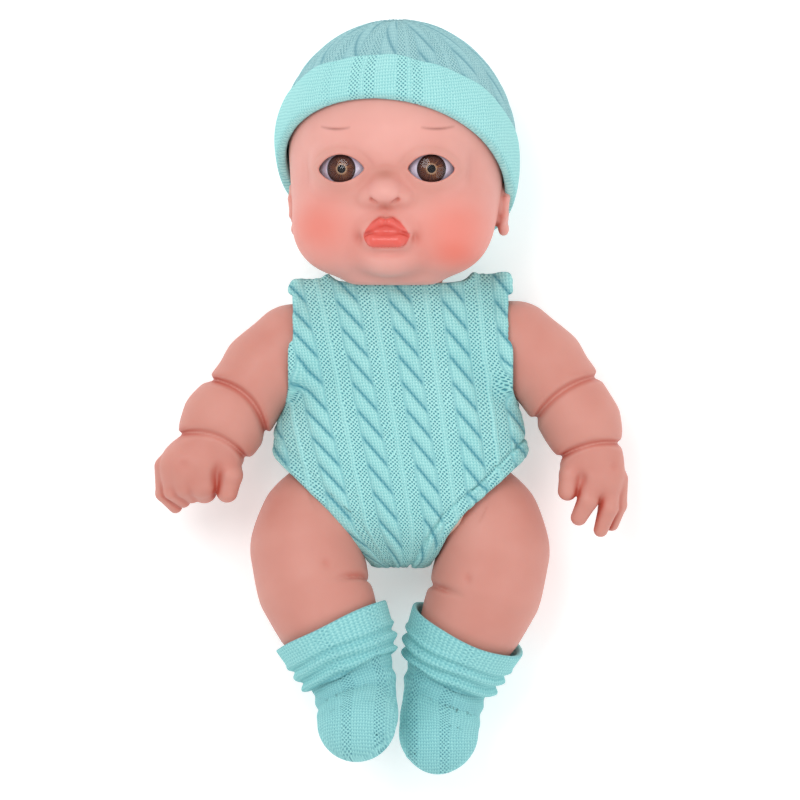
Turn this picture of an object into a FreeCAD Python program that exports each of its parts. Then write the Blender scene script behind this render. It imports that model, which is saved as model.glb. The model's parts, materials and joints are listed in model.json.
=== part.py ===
"""Interactive baby doll, lying on its back: vinyl head and limbs snapped onto a hard torso with a sound unit,
dressed in a knitted romper, hat and socks.

Millimetres. +Z runs from the back to the belly, +Y from the feet to the head, +X to the doll's left.
The origin is the centre of the doll's outline on the surface that it lies on.
"""

import FreeCAD, Part
import math
import os

import Sketcher
from FreeCAD import Placement, Rotation, Vector

DRIVING = {
    "body_axis_x": 3.65,  # the torso's centre line, from the middle of the outline
    # torso
    "torso_half_width": 45.0,  # at the belly
    "torso_half_depth": 28.5,
    "torso_mid_height": 31.5,
    "torso_top": 46.0,
    "torso_wall": 2.0,
    "socket_plate": 3.0,  # wall that a limb turns on
    # head
    "head_half_width": 43.5,
    "head_half_depth": 44.3,
    "head_mid_height": 47.4,
    "neck_height": 34.5,  # of the neck's turning axis
    "head_bottom": 46.3,
    "head_top": 148.0,
    # limbs
    "vinyl_wall": 2.4,
    "arm_root_radius": 16.5,
    "thigh_radius": 21.5,
    # turning joints: a spool with a neck and two flanges
    "joint_clearance": 0.1,
    "joint_play": 0.3,
    "flange_thickness": 2.4,
    "neck_spool_radius": 10.0,
    "shoulder_spool_radius": 8.0,
    "hip_spool_radius": 10.0,
    "flange_overhang": 3.2,
    # clothes
    "romper_gap": 0.8,
    "romper_cloth": 2.5,
    "hat_gap": 0.4,
    "hat_cloth": 2.2,
    "hat_band_cloth": 2.6,
    "sock_gap": 0.3,
    "sock_cloth": 1.8,
    # eyes
    "eye_dome_radius": 14.0,
    "eye_half_width": 11.0,
    "eye_lens_wall": 1.3,
    "iris_radius": 5.8,
    # sound unit
    "cell_radius": 5.25,
    "cell_length": 44.5,
    "box_wall": 1.6,
    "board_thickness": 1.6,
    "button_radius": 9.0,
    "button_travel": 1.5,
    "speaker_radius": 14.0,
    "wire_radius": 0.6,
}


class Size:
    """A number together with the expression that gives it from the sheet's cells."""

    def __init__(self, value, text):
        self.value = float(value)
        self.text = text

    def _with(self, sign, other, value):
        return Size(value, f"({self.text} {sign} {text_of(other)})")

    def __float__(self):
        return self.value

    def __add__(self, other):
        return self._with("+", other, self.value + float(other))

    def __sub__(self, other):
        return self._with("-", other, self.value - float(other))

    def __mul__(self, other):
        return self._with("*", other, self.value * float(other))

    def __truediv__(self, other):
        return self._with("/", other, self.value / float(other))


def text_of(number):
    """The expression of a Size, or a plain number as text."""
    return number.text if isinstance(number, Size) else f"({float(number):g})"


doc = FreeCAD.newDocument("baby_doll")
sheet = doc.addObject("Spreadsheet::Sheet", "Dimensions")
CELL = {}
for row, (alias, number) in enumerate(DRIVING.items(), start=1):
    sheet.set(f"A{row}", alias)
    sheet.set(f"B{row}", str(number))
    sheet.setAlias(f"B{row}", alias)
    CELL[alias] = Size(number, f"Dimensions.{alias}")
doc.recompute()

NODES = {}  # node name -> document object


# ---------------------------------------------------------------- places


def axes(x_dir, z_dir):
    """The rotation that turns local X and Z to these directions."""
    return Rotation(Vector(*x_dir), Vector(), Vector(*z_dir), "ZXY")


def turned_about(centre, axis, degrees):
    """A rotation about an axis through a point, as a Placement."""
    return Placement(Vector(), Rotation(Vector(*axis), degrees), Vector(*centre))


BODY = Placement(Vector(DRIVING["body_axis_x"], 0, 0), Rotation())
FORWARD_UP = axes((1, 0, 0), (0, 1, 0))  # local Z along the body, local X across


# ---------------------------------------------------------------- building blocks


def bind(thing, prop, size):
    """Gives a property its value, bound to the sheet where the value comes from there."""
    setattr(thing, prop, float(size))
    if isinstance(size, Size):
        thing.setExpression(prop, size.text)


def keep(label, thing, node=True):
    """Labels an object, and lists it as a node of the doll."""
    thing.Label = label
    if node:
        NODES[label] = thing
    return thing


def cylinder(label, radius, height, base, along=(0, 0, 1), where=BODY):
    made = doc.addObject("Part::Cylinder", label)
    bind(made, "Radius", radius)
    bind(made, "Height", height)
    made.Placement = where * Placement(Vector(*base), Rotation(Vector(0, 0, 1), Vector(*along)))
    return made


def box(label, low, length, width, height, where=BODY):
    made = doc.addObject("Part::Box", label)
    bind(made, "Length", length)
    bind(made, "Width", width)
    bind(made, "Height", height)
    made.Placement = where * Placement(Vector(*low), Rotation())
    return made


def ellipsoid(label, centre, radii, where=BODY, turn=Rotation()):
    """An ellipsoid with half-axes along its own X, Y and Z."""
    made = doc.addObject("Part::Ellipsoid", label)
    bind(made, "Radius2", radii[0])
    bind(made, "Radius3", radii[1])
    bind(made, "Radius1", radii[2])
    made.Placement = where * Placement(Vector(*centre), turn)
    return made


def boolean(kind, label, base, tool):
    made = doc.addObject("Part::" + kind, label)
    made.Base = base
    made.Tool = tool
    return made


def cut(label, base, *tools):
    tool = tools[0] if len(tools) == 1 else fuse(label + "_tools", *tools)
    return boolean("Cut", label, base, tool)


def common(label, base, tool):
    return boolean("Common", label, base, tool)


def fuse(label, *things):
    made = doc.addObject("Part::MultiFuse", label)
    made.Shapes = list(things)
    return made


def loft(label, rings, where=BODY, grow=0.0, inset=0.0, across=None):
    """A closed solid through elliptical rings, each (centre, radius across, other radius) and maybe a direction.

    grow is added to every radius, and inset moves the first and last ring inwards.
    across gives each ring's local X, and without it the rings stay level with the floor.
    """
    centres = [Vector(*ring[0]) for ring in rings]
    last = len(rings) - 1
    sections = []
    for i, (_, wide, deep, *facing) in enumerate(rings):
        ahead = Vector(*facing[0]) if facing else centres[min(i + 1, last)] - centres[max(i - 1, 0)]
        ahead.normalize()
        local_x = Vector(*across) if across else ahead.cross(Vector(0, 0, 1)).normalize()
        centre = centres[i]
        if i in (0, last):
            centre = centre + ahead * (float(inset) if i == 0 else -float(inset))
        section = doc.addObject("Part::Ellipse", f"{label}_ring_{i}")
        bind(section, "MajorRadius", wide + grow)
        bind(section, "MinorRadius", deep + grow)
        section.Placement = where * Placement(centre, axes(local_x, ahead))
        sections.append(section)
    made = doc.addObject("Part::Loft", label)
    made.Sections = sections
    made.Solid = True
    return made


def less(size):
    """The growth that shrinks a radius by a size."""
    return Size(-size.value, f"(0 - {size.text})")


def origin_plane(body, role):
    return next(plane for plane in body.Origin.OriginFeatures if plane.Role == role)


def new_sketch(body, label, role="XY_Plane", offset=0.0):
    sketch = body.newObject("Sketcher::SketchObject", label)
    sketch.AttachmentSupport = [(origin_plane(body, role), "")]
    sketch.MapMode = "FlatFace"
    if float(offset):
        sketch.AttachmentOffset = Placement(Vector(0, 0, float(offset)), Rotation())
    return sketch


def pin_down(sketch, edge, point, x, y):
    """Holds one point of an edge at (x, y) from the sketch's origin."""
    for kind, axis, value in (("DistanceX", -2, x), ("DistanceY", -1, y)):
        if float(value) == 0:
            sketch.addConstraint(Sketcher.Constraint("PointOnObject", edge, point, axis))
            continue
        index = sketch.addConstraint(Sketcher.Constraint(kind, -1, 1, edge, point, float(value)))
        if isinstance(value, Size):
            sketch.setExpression(f"Constraints[{index}]", value.text)


def polygon(sketch, points):
    """A closed outline of straight edges through these points."""
    count = len(points)
    for i in range(count):
        start = Vector(float(points[i][0]), float(points[i][1]), 0)
        nxt = points[(i + 1) % count]
        sketch.addGeometry(Part.LineSegment(start, Vector(float(nxt[0]), float(nxt[1]), 0)), False)
    for i in range(count):
        sketch.addConstraint(Sketcher.Constraint("Coincident", i, 2, (i + 1) % count, 1))
    for i, (x, y) in enumerate(points):
        pin_down(sketch, i, 1, x, y)


def circle(sketch, x, y, radius):
    index = sketch.addGeometry(Part.Circle(Vector(x, y, 0), Vector(0, 0, 1), float(radius)), False)
    pin_down(sketch, index, 3, x, y)
    held = sketch.addConstraint(Sketcher.Constraint("Radius", index, float(radius)))
    if isinstance(radius, Size):
        sketch.setExpression(f"Constraints[{held}]", radius.text)


def revolved(label, outline, base, along, where=BODY):
    """A body turned about its own Y, from an outline of (radius, height) points, set along a direction."""
    body = doc.addObject("PartDesign::Body", label)
    sketch = new_sketch(body, label + "_outline")
    polygon(sketch, outline)
    turn = body.newObject("PartDesign::Revolution", label + "_turned")
    turn.Profile = sketch
    turn.ReferenceAxis = (sketch, ["V_Axis"])
    turn.Angle = 360
    body.Placement = where * Placement(Vector(*base), Rotation(Vector(0, 1, 0), Vector(*along)))
    return body


def padded(label, half_x, half_y, height, base, holes=(), corner=0.0, where=BODY):
    """A rectangular plate on its base, with round holes (x, y, radius) and rounded upright edges."""
    body = doc.addObject("PartDesign::Body", label)
    sketch = new_sketch(body, label + "_outline")
    low_x, low_y = opposite(half_x), opposite(half_y)
    polygon(sketch, [(low_x, low_y), (half_x, low_y), (half_x, half_y), (low_x, half_y)])
    for x, y, radius in holes:
        circle(sketch, x, y, radius)
    pad = body.newObject("PartDesign::Pad", label + "_pad")
    pad.Profile = sketch
    bind(pad, "Length", height)
    if corner:
        doc.recompute()
        upright = [
            f"Edge{i + 1}"
            for i, edge in enumerate(pad.Shape.Edges)
            if len(edge.Vertexes) == 2
            and isinstance(edge.Curve, Part.Line)
            and abs(edge.tangentAt(edge.FirstParameter).z) > 0.9
        ]
        fillet = body.newObject("PartDesign::Fillet", label + "_corners")
        fillet.Base = (pad, upright)
        bind(fillet, "Radius", corner)
    body.Placement = where * Placement(Vector(*base), Rotation())
    return body


def opposite(size):
    return less(size) if isinstance(size, Size) else -size


def coil_spring(label, radius, pitch, height, wire, where):
    """A round wire swept along a helix that starts at a placement, half a turn per face."""
    coil = doc.addObject("Part::Helix", label + "_path")
    coil.Radius = radius
    coil.Pitch = pitch
    coil.Height = height
    coil.SegmentLength = 0.5
    coil.Placement = where
    section = doc.addObject("Part::Circle", label + "_wire")
    section.Radius = wire
    section.Placement = where * Placement(Vector(radius, 0, 0), axes((1, 0, 0), (0, 1, 0)))
    sweep = doc.addObject("Part::Sweep", label)
    sweep.Sections = [section]
    sweep.Spine = (coil, [f"Edge{i + 1}" for i in range(math.ceil(height / pitch / 0.5))])
    sweep.Solid = True
    sweep.Frenet = True
    return sweep


def spool(label, radius, near_wall, far_wall, base, outward, where):
    """A joint spool that turns in the torso's wall (near) and grips the limb's end wall (far).

    base is on the torso's outer face, on the joint's axis, and outward points from the torso into the limb.
    """
    flange = CELL["flange_thickness"]
    rim = radius + CELL["flange_overhang"]
    inner_face = opposite(near_wall + CELL["joint_play"])
    outer_face = far_wall + CELL["joint_play"]
    outline = [
        (0, inner_face - flange),
        (rim, inner_face - flange),
        (rim, inner_face),
        (radius, inner_face),
        (radius, outer_face),
        (rim, outer_face),
        (rim, outer_face + flange),
        (0, outer_face + flange),
    ]
    return revolved(label, outline, base, outward, where)


# ---------------------------------------------------------------- torso shell

TORSO_RINGS = [  # along the body, half-width and half-depth as shares of the belly's, height from its middle
    (46.0, 0.50, 0.66, 1.5),
    (40.0, 0.73, 0.77, 0.5),
    (28.0, 0.865, 0.865, -0.5),
    (8.0, 0.885, 0.915, -0.5),
    (-14.0, 0.955, 0.985, 0.0),
    (-32.0, 1.0, 1.0, 0.0),
    (-46.0, 0.89, 0.93, -0.5),
    (-56.0, 0.56, 0.74, -1.0),
    (-62.0, 0.25, 0.38, -1.5),
]
SHOULDER_CENTRE = (33.5, 21.0, 31.0)
SHOULDER_TILT = 12.0
HIP_CENTRE = (28.0, -41.0, 30.0)
HIP_TILT = 25.0


def torso_loft(label, grow=0.0, inset=0.0):
    width, depth = CELL["torso_half_width"], CELL["torso_half_depth"]
    middle = DRIVING["torso_mid_height"]
    rings = [((0, y, middle + dz), width * w, depth * d, (0, -1, 0)) for y, w, d, dz in TORSO_RINGS]
    return loft(label, rings, grow=grow, inset=inset, across=(1, 0, 0))


def outward(side, tilt):
    """A limb joint's axis, pointing out of the torso on one side."""
    angle = math.radians(tilt)
    return (side * math.cos(angle), -math.sin(angle), 0.0)


def mirrored(point, side):
    return (side * point[0], point[1], point[2])


def along(point, direction, distance):
    return tuple(p + d * float(distance) for p, d in zip(point, direction))


def joint_sockets():
    """Each limb joint's name, place, outward axis, spool radius and plate radius."""
    found = []
    for name, side in (("right", -1), ("left", 1)):
        found.append((name + "_shoulder", mirrored(SHOULDER_CENTRE, side), outward(side, SHOULDER_TILT),
                      CELL["shoulder_spool_radius"], 17.0))
        found.append((name + "_hip", mirrored(HIP_CENTRE, side), outward(side, HIP_TILT),
                      CELL["hip_spool_radius"], 20.5))
    return found


DOOR = {"half_x": 16.8, "low_y": -41.5, "high_y": 11.5, "outer_z": 8.0, "tab_half_x": 5.5, "tab_y": 19.5}
RECESS_FLOOR = 10.0  # height of the recess's inner side, where the battery box starts
BUTTON_Y = -14.0
SPEAKER_Y = 21.0
SWITCH_Y = 31.0
SCREW_POSTS = [(-27.0, 2.0), (27.0, 2.0), (-9.0, -52.0), (9.0, -52.0)]
SPLIT_Z = 31.0
BUTTON_STOP = 56.05  # height of the collar that stops the button's flange
SWITCH_LOW = 10.6  # height of the pad under the power switch


def build_torso():
    outer = torso_loft("torso_outside")
    inner = torso_loft("torso_inside", grow=less(CELL["torso_wall"]), inset=2.5)
    shell = cut("torso_skin", outer, inner)

    plates, caps, holes = [], [], []
    for name, centre, axis, radius, plate_radius in joint_sockets():
        start = along(centre, axis, -DRIVING["socket_plate"])
        plates.append(cylinder(name + "_plate", plate_radius, CELL["socket_plate"], start, axis))
        caps.append(cylinder(name + "_recess", plate_radius + 3.0, 30.0, centre, axis))
        reach = along(centre, axis, -12.0)
        holes.append(cylinder(name + "_hole", radius + CELL["joint_clearance"], 24.0, reach, axis))
    neck = (0, DRIVING["torso_top"] - 8.0, DRIVING["neck_height"])
    neck_radius = CELL["neck_spool_radius"] + CELL["joint_clearance"]
    holes.append(cylinder("neck_hole", neck_radius, 16.0, neck, (0, 1, 0)))

    # a recess in the back for the flat battery door
    low_y, tab_y = DOOR["low_y"], DOOR["tab_y"]
    tub = box("door_tub", (-20.5, low_y - 3.7, 0), 41.0, tab_y - low_y + 6.7, RECESS_FLOOR)
    recess = fuse("door_recess",
                  box("door_recess_main", (-18.5, low_y - 1.7, -5), 37.0, 56.4, DOOR["outer_z"] + 5),
                  box("door_recess_tab", (-7.5, 0, -5), 15.0, tab_y + 2.0, DOOR["outer_z"] + 5))
    opening = fuse("door_opening",
                   box("door_opening_main", (-DOOR["half_x"] - 0.3, low_y - 0.3, 0), 34.2, 53.6, 20.0),
                   box("door_opening_tab", (-5.8, 0, 0), 11.6, tab_y + 0.3, 20.0))

    posts = [cylinder(f"screw_post_{i}", 3.4, 60.0, (x, y, 0)) for i, (x, y) in enumerate(SCREW_POSTS)]
    speaker_ring = cylinder("speaker_ring", CELL["speaker_radius"] + 2.4, 20.0, (0, SPEAKER_Y, 43.0))
    board_posts = [cylinder(f"board_post_{i}", 2.4, 20.0, (x, BUTTON_Y - 11.0, 45.6))
                   for i, x in enumerate((-13, 13))]
    button_collar = cylinder("button_collar", CELL["button_radius"] + 3.4, 10.0, (0, BUTTON_Y, BUTTON_STOP))
    switch_pad = box("switch_pad", (-7.0, SWITCH_Y - 3.6, 0), 14.0, 7.2, SWITCH_LOW)
    stock = fuse("torso_rib_stock", tub, speaker_ring, button_collar, switch_pad, *plates, *posts,
                 *board_posts)
    inside = common("torso_ribs", outer, stock)
    speaker_space = fuse("speaker_space",
                         cylinder("speaker_room", CELL["speaker_radius"] + 0.6, 10.7, (0, SPEAKER_Y, 37.0)),
                         cylinder("speaker_front_room", CELL["speaker_radius"] - 1.6, 6.0, (0, SPEAKER_Y, 46.0)))

    grille = [cylinder("grille_centre", 1.1, 30.0, (0, SPEAKER_Y, 45.0))]
    for ring_radius, count in ((4.0, 6), (8.0, 12)):
        for i in range(count):
            turn = 2 * math.pi * i / count
            spot = (ring_radius * math.cos(turn), SPEAKER_Y + ring_radius * math.sin(turn), 45.0)
            grille.append(cylinder(f"grille_{count}_{i}", 1.1, 30.0, spot))
    screw_holes = []
    for i, (x, y) in enumerate(SCREW_POSTS):
        screw_holes.append(cylinder(f"screw_hole_{i}", 1.3, 18.0, (x, y, 24.0)))
        screw_holes.append(cylinder(f"screw_way_{i}", 3.0, 26.0, (x, y, -2.0)))
    board_holes = [cylinder(f"board_hole_{i}", 0.8, 6.0, (x, BUTTON_Y - 11.0, 45.6))
                   for i, x in enumerate((-13, 13))]
    button_hole = cylinder("button_hole", CELL["button_radius"] + 0.2, 20.0, (0, BUTTON_Y, 50.0))
    switch_slot = box("switch_slot", (-4.4, SWITCH_Y - 1.7, 0), 8.8, 3.4, 12.0)
    whole = cut("torso_whole", fuse("torso_stock", shell, inside), recess, opening, *caps, *holes, *grille,
                *screw_holes, *board_holes, button_hole, switch_slot, speaker_space)
    front_half = box("front_half", (-80, -90, SPLIT_Z), 160, 180, 60)
    back_half = box("back_half", (-80, -90, SPLIT_Z - 60), 160, 180, 60)
    keep("torso_front", common("torso_front", whole, front_half))
    keep("torso_back", common("torso_back", whole, back_half))

    screw = [(0, 22.0), (2.7, 22.0), (2.7, 24.0), (1.25, 24.0), (1.25, 38.0), (0, 39.5)]
    screws = [revolved(f"torso_screw_{i}", screw, (x, y, 0), (0, 0, 1))
              for i, (x, y) in enumerate(SCREW_POSTS)]
    keep("torso_screws", fuse("torso_screws", *screws))


# ---------------------------------------------------------------- sound unit


def build_battery_box():
    wall = CELL["box_wall"]
    length = DOOR["high_y"] - DOOR["low_y"]
    middle = (DOOR["high_y"] + DOOR["low_y"]) / 2
    box_height = CELL["cell_radius"] * 2 + 1.0 + wall
    tray = padded("battery_tray", 18.2, length / 2 + 0.6, box_height, (0, middle, RECESS_FLOOR), corner=1.5)
    inner_height = CELL["cell_radius"] * 2 + 1.0
    room = box("battery_room", (-16.4, DOOR["low_y"] + 1.0, RECESS_FLOOR - 1), 32.8, length - 2.0,
               inner_height + 1.0)
    boss = fuse("door_boss", cylinder("door_boss_post", 3.4, 8.0, (0, 15.4, RECESS_FLOOR)),
                box("door_boss_web", (-1.6, 11.5, RECESS_FLOOR), 3.2, 2.0, 8.0))
    boss_hole = cylinder("door_boss_hole", 1.0, 7.0, (0, 15.4, RECESS_FLOOR - 1))
    keep("battery_box", cut("battery_box", fuse("battery_box_stock", tray, boss), room, boss_hole))

    cell_height = RECESS_FLOOR + DRIVING["cell_radius"] + 0.4
    cells, springs, plates = [], [], []
    for i, x in enumerate((-10.8, 0.0, 10.8)):
        flip = -1 if i == 1 else 1
        low = middle - flip * (DRIVING["cell_length"] / 2 - 2.2)
        radius, cell = CELL["cell_radius"], CELL["cell_length"]
        outline = [(0, 0), (radius, 0), (radius, cell - 0.9), (2.0, cell - 0.9), (2.0, cell), (0, cell)]
        cells.append(revolved(f"cell_{i}", outline, (x, low, cell_height), (0, flip, 0)))
        where = BODY * Placement(Vector(x, low - flip * 4.4, cell_height),
                                 Rotation(Vector(0, 0, 1), Vector(0, flip, 0)))
        springs.append(coil_spring(f"contact_spring_{i}", 3.2, 1.3, 3.4, 0.35, where))
        end = low + flip * DRIVING["cell_length"]
        plate_y = end + (0.05 if flip > 0 else -0.45)
        plates.append(box(f"contact_plate_{i}", (x - 4.5, plate_y, cell_height - 4.0), 9.0, 0.4, 8.0))
    keep("battery_cells", fuse("battery_cells", *cells))
    keep("battery_springs", fuse("battery_springs", *springs))
    keep("battery_contacts", fuse("battery_contacts", *plates))

    main = padded("door_plate", DOOR["half_x"], length / 2 - 0.1, 1.8, (0, middle, DOOR["outer_z"]), corner=1.0)
    tab = padded("door_tab", DOOR["tab_half_x"], 4.6, 1.8, (0, 14.6, DOOR["outer_z"]), holes=[(0, 0.8, 1.1)])
    keep("battery_door", fuse("battery_door", main, tab))
    outline = [(0, 6.4), (2.4, 6.4), (2.4, DOOR["outer_z"]), (1.0, DOOR["outer_z"]), (1.0, 15.0), (0, 15.8)]
    keep("battery_door_screw", revolved("battery_door_screw", outline, (0, 15.4, 0), (0, 0, 1)))


def build_speaker():
    radius = CELL["speaker_radius"]
    frame = [(6.0, 40.0), (9.0, 40.0), (radius - 1.2, 45.2), (radius, 45.2), (radius, 47.6),
             (radius - 2.0, 47.6), (radius - 2.0, 46.4), (8.4, 41.2), (6.0, 41.2)]
    keep("speaker_frame", revolved("speaker_frame", frame, (0, SPEAKER_Y, 0), (0, 0, 1)))
    keep("speaker_magnet", revolved("speaker_magnet", [(0, 35.6), (8.0, 35.6), (8.0, 40.0), (0, 40.0)],
                                    (0, SPEAKER_Y, 0), (0, 0, 1)))
    cone = [(0, 42.4), (4.6, 43.4), (10.4, 46.6), (11.8, 46.6), (11.8, 47.0), (10.2, 47.0), (4.4, 43.9),
            (0, 42.9)]
    keep("speaker_cone", revolved("speaker_cone", cone, (0, SPEAKER_Y, 0), (0, 0, 1)))
    coil = [(2.4, 40.6), (2.9, 40.6), (2.9, 42.5), (2.4, 42.4)]
    keep("speaker_voice_coil", revolved("speaker_voice_coil", coil, (0, SPEAKER_Y, 0), (0, 0, 1)))


BOARD_TOP = 45.6


def build_circuit():
    board_low = BOARD_TOP - DRIVING["board_thickness"]
    holes = [(-13, -7.0, 1.2), (13, -7.0, 1.2)]
    middle = BUTTON_Y - 4.0
    base = (0, middle, board_low)
    keep("circuit_board", padded("circuit_board", 17.0, 11.0, CELL["board_thickness"], base, holes))
    keep("sound_chip", revolved("sound_chip", [(0, 0), (5.0, 0), (4.2, -1.2), (0, -1.8)],
                                (6.0, middle, board_low), (0, 0, 1)))
    parts = [box("capacitor", (-12.0, middle - 3.0, board_low - 2.0), 4.0, 2.5, 2.0),
             box("resistor", (-12.0, middle + 3.0, board_low - 0.8), 3.2, 1.6, 0.8),
             cylinder("crystal", 1.5, 5.0, (-5.0, middle + 6.0, board_low - 1.5), (1, 0, 0))]
    keep("board_components", fuse("board_components", *parts))
    outline = [(0, -1.4), (1.9, -1.4), (1.9, 0), (0.75, 0), (0.75, 5.6), (0, 6.2)]
    screws = [revolved(f"board_screw_{i}", outline, (x, BUTTON_Y - 11.0, board_low), (0, 0, 1))
              for i, x in enumerate((-13, 13))]
    keep("board_screws", fuse("board_screws", *screws))
    body = padded("tact_body", 3.0, 3.0, 3.2, (0, BUTTON_Y, BOARD_TOP))
    plunger = cylinder("tact_plunger", 1.6, 0.8, (0, BUTTON_Y, BOARD_TOP + 3.2))
    keep("tact_switch", fuse("tact_switch", body, plunger))


def build_button():
    """The belly button: a capped plunger with a flange under the shell, and the spring that returns it."""
    radius = CELL["button_radius"]
    flange_top = BUTTON_STOP - 0.05
    outline = [(0, 51.15), (3.0, 51.15), (3.0, 54.6), (radius + 1.8, 54.6), (radius + 1.8, flange_top),
               (radius, flange_top), (radius, 58.0), (radius - 1.5, 58.9), (0, 59.4)]
    keep("sound_button", revolved("sound_button", outline, (0, BUTTON_Y, 0), (0, 0, 1)))
    wire = 0.35
    where = BODY * Placement(Vector(0, BUTTON_Y, BOARD_TOP + wire + 0.05), Rotation())
    height = 54.6 - BOARD_TOP - 2 * wire - 0.1
    keep("button_spring", coil_spring("button_spring", 5.6, 2.0, height, wire, where))


def build_switch():
    """The slide switch that reaches out through the back: a housing and the slider that travels in it."""
    housing = padded("switch_case", 7.0, 3.6, 5.0, (0, SWITCH_Y, SWITCH_LOW))
    room = box("switch_room", (-5.2, SWITCH_Y - 1.6, 10.0), 10.4, 3.2, 4.4)
    keep("switch_housing", cut("switch_housing", housing, room))
    foot = box("slider_foot", (-3.6, SWITCH_Y - 1.4, 11.6), 4.0, 2.8, 2.0)
    knob = box("slider_knob", (-3.0, SWITCH_Y - 1.1, 6.9), 2.8, 2.2, 4.9)
    keep("switch_slider", fuse("switch_slider", foot, knob))


def wire_path(points, bend):
    """Straight runs through the points, joined by tangent arcs of one radius."""
    spots = [Vector(*p) for p in points]
    edges, start = [], spots[0]
    for before, corner, after in zip(spots, spots[1:], spots[2:]):
        arriving, leaving = (corner - before).normalize(), (after - corner).normalize()
        turn = arriving.getAngle(leaving)
        back = bend * math.tan(turn / 2)
        first, last = corner - arriving * back, corner + leaving * back
        inward = (leaving - arriving).normalize()
        middle = corner + inward * (bend / math.cos(turn / 2) - bend)
        edges.append(Part.LineSegment(start, first).toShape())
        edges.append(Part.Arc(first, middle, last).toShape())
        start = last
    edges.append(Part.LineSegment(start, spots[-1]).toShape())
    return Part.Wire(edges)


def wires(label, routes):
    """Insulated leads, each swept along its own route."""
    radius = sheet.wire_radius
    tubes = []
    for points in routes:
        spine = wire_path(points, 2.4)
        first = Vector(*points[1]) - Vector(*points[0])
        profile = Part.Wire([Part.makeCircle(radius, Vector(*points[0]), first)])
        tubes.append(spine.makePipeShell([profile], True, False))
    made = doc.addObject("Part::Feature", label)
    made.Shape = Part.makeCompound(tubes)
    made.Placement = BODY
    keep(label, made)


def build_wiring():
    board_low = BOARD_TOP - DRIVING["board_thickness"]
    battery_top = RECESS_FLOOR + 2 * DRIVING["cell_radius"] + 1.0 + DRIVING["box_wall"]
    wires("battery_leads", [
        [(x, -34.0, battery_top), (x, -34.0, 31.0), (x, -22.0, 34.0), (x, -22.0, board_low)] for x in (-4.0, -1.0)])
    wires("speaker_leads", [
        [(x, 11.4, 45.0), (x, 11.4, 33.0), (x, -9.0, 36.0), (x, -9.0, board_low)] for x in (-9.2, 9.2)])
    wires("switch_leads", [
        [(x, SWITCH_Y, 15.6), (x, SWITCH_Y, 26.0), (x, -2.0, 30.0), (x, -9.0, 34.0), (x, -9.0, board_low)]
        for x in (-5.0, 5.0)])


# ---------------------------------------------------------------- head

HEAD_YAW = 6.5
HEAD = BODY * turned_about((0, 0, DRIVING["neck_height"]), (0, 1, 0), -HEAD_YAW)
HEAD_RINGS = [  # along the body, half-width and half-depth as shares of the largest, height from the middle
    (46.3, 0.48, 0.48, -9.4),
    (50.5, 0.68, 0.70, -1.0),
    (58.0, 0.885, 0.875, 1.0),
    (70.0, 0.97, 0.955, 0.7),
    (88.0, 0.99, 0.995, 0.2),
    (108.0, 0.985, 1.0, 0.0),
    (125.0, 0.885, 0.91, 0.0),
    (137.0, 0.68, 0.70, 0.0),
    (144.5, 0.42, 0.43, 0.0),
    (148.0, 0.14, 0.15, 0.0),
]
EYE_X = 18.4
EYE_Y = 91.0
EYE_APEX_Z = 86.9
EYE_TURN = 7.0  # each eye looks this far outwards of straight ahead


def head_loft(label, grow=0.0, inset=0.0):
    width, depth, middle = CELL["head_half_width"], CELL["head_half_depth"], DRIVING["head_mid_height"]
    rings = [((0, y, middle + dz), depth * d, width * w, (0, 1, 0)) for y, w, d, dz in HEAD_RINGS]
    return loft(label, rings, where=HEAD, grow=grow, inset=inset, across=(0, 0, 1))


def eye_place(side):
    """The eye's own frame: local Z looks out of the face, with its origin at the dome's centre."""
    look = Rotation(Vector(0, 1, 0), side * EYE_TURN)
    apex = Vector(side * EYE_X, EYE_Y, EYE_APEX_Z)
    centre = apex - look.multVec(Vector(0, 0, DRIVING["eye_dome_radius"]))
    return HEAD * Placement(centre, look)


def dome(label, outer, inner, low, where):
    """Part of a round shell above a height, as a cut of two spheres."""
    shell = doc.addObject("Part::Sphere", label + "_outside")
    bind(shell, "Radius", outer)
    shell.Placement = where
    hollow = doc.addObject("Part::Sphere", label + "_inside")
    bind(hollow, "Radius", inner)
    hollow.Placement = where
    slab = cylinder(label + "_slab", 30.0, 30.0, (0, 0, low), where=where)
    return common(label, cut(label + "_shell", shell, hollow), slab)


def build_head():
    nose = ellipsoid("nose", (0, 81.0, 88.6), (6.0, 5.0, 6.0), HEAD)
    ears = [ellipsoid(f"ear_{i}", (side * 42.2, 74.0, 44.1), (4.2, 8.6, 6.0), HEAD)
            for i, side in enumerate((-1, 1))]
    solid = fuse("head_solid", head_loft("head_outside"), nose, *ears)
    cavity = head_loft("head_inside", grow=less(CELL["vinyl_wall"]), inset=2.4)
    neck = (0, DRIVING["head_bottom"] - 2.0, DRIVING["neck_height"])
    neck_hole = cylinder("head_neck_hole", CELL["neck_spool_radius"], 6.0, neck, (0, 1, 0), HEAD)
    sockets = []
    for name, side in (("right", -1), ("left", 1)):
        place = eye_place(side)
        sockets.append(cylinder(name + "_socket", CELL["eye_half_width"] + 0.3, 24.0, (0, 0, 2.0), where=place))
        build_eye(name, place)
    keep("head_shell", cut("head_shell", solid, cavity, neck_hole, *sockets))
    base = (0, DRIVING["torso_top"], DRIVING["neck_height"])
    keep("neck_spool", spool("neck_spool", CELL["neck_spool_radius"], CELL["torso_wall"] + 0.5,
                             CELL["vinyl_wall"] + 0.2, base, (0, 1, 0), BODY))


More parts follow.
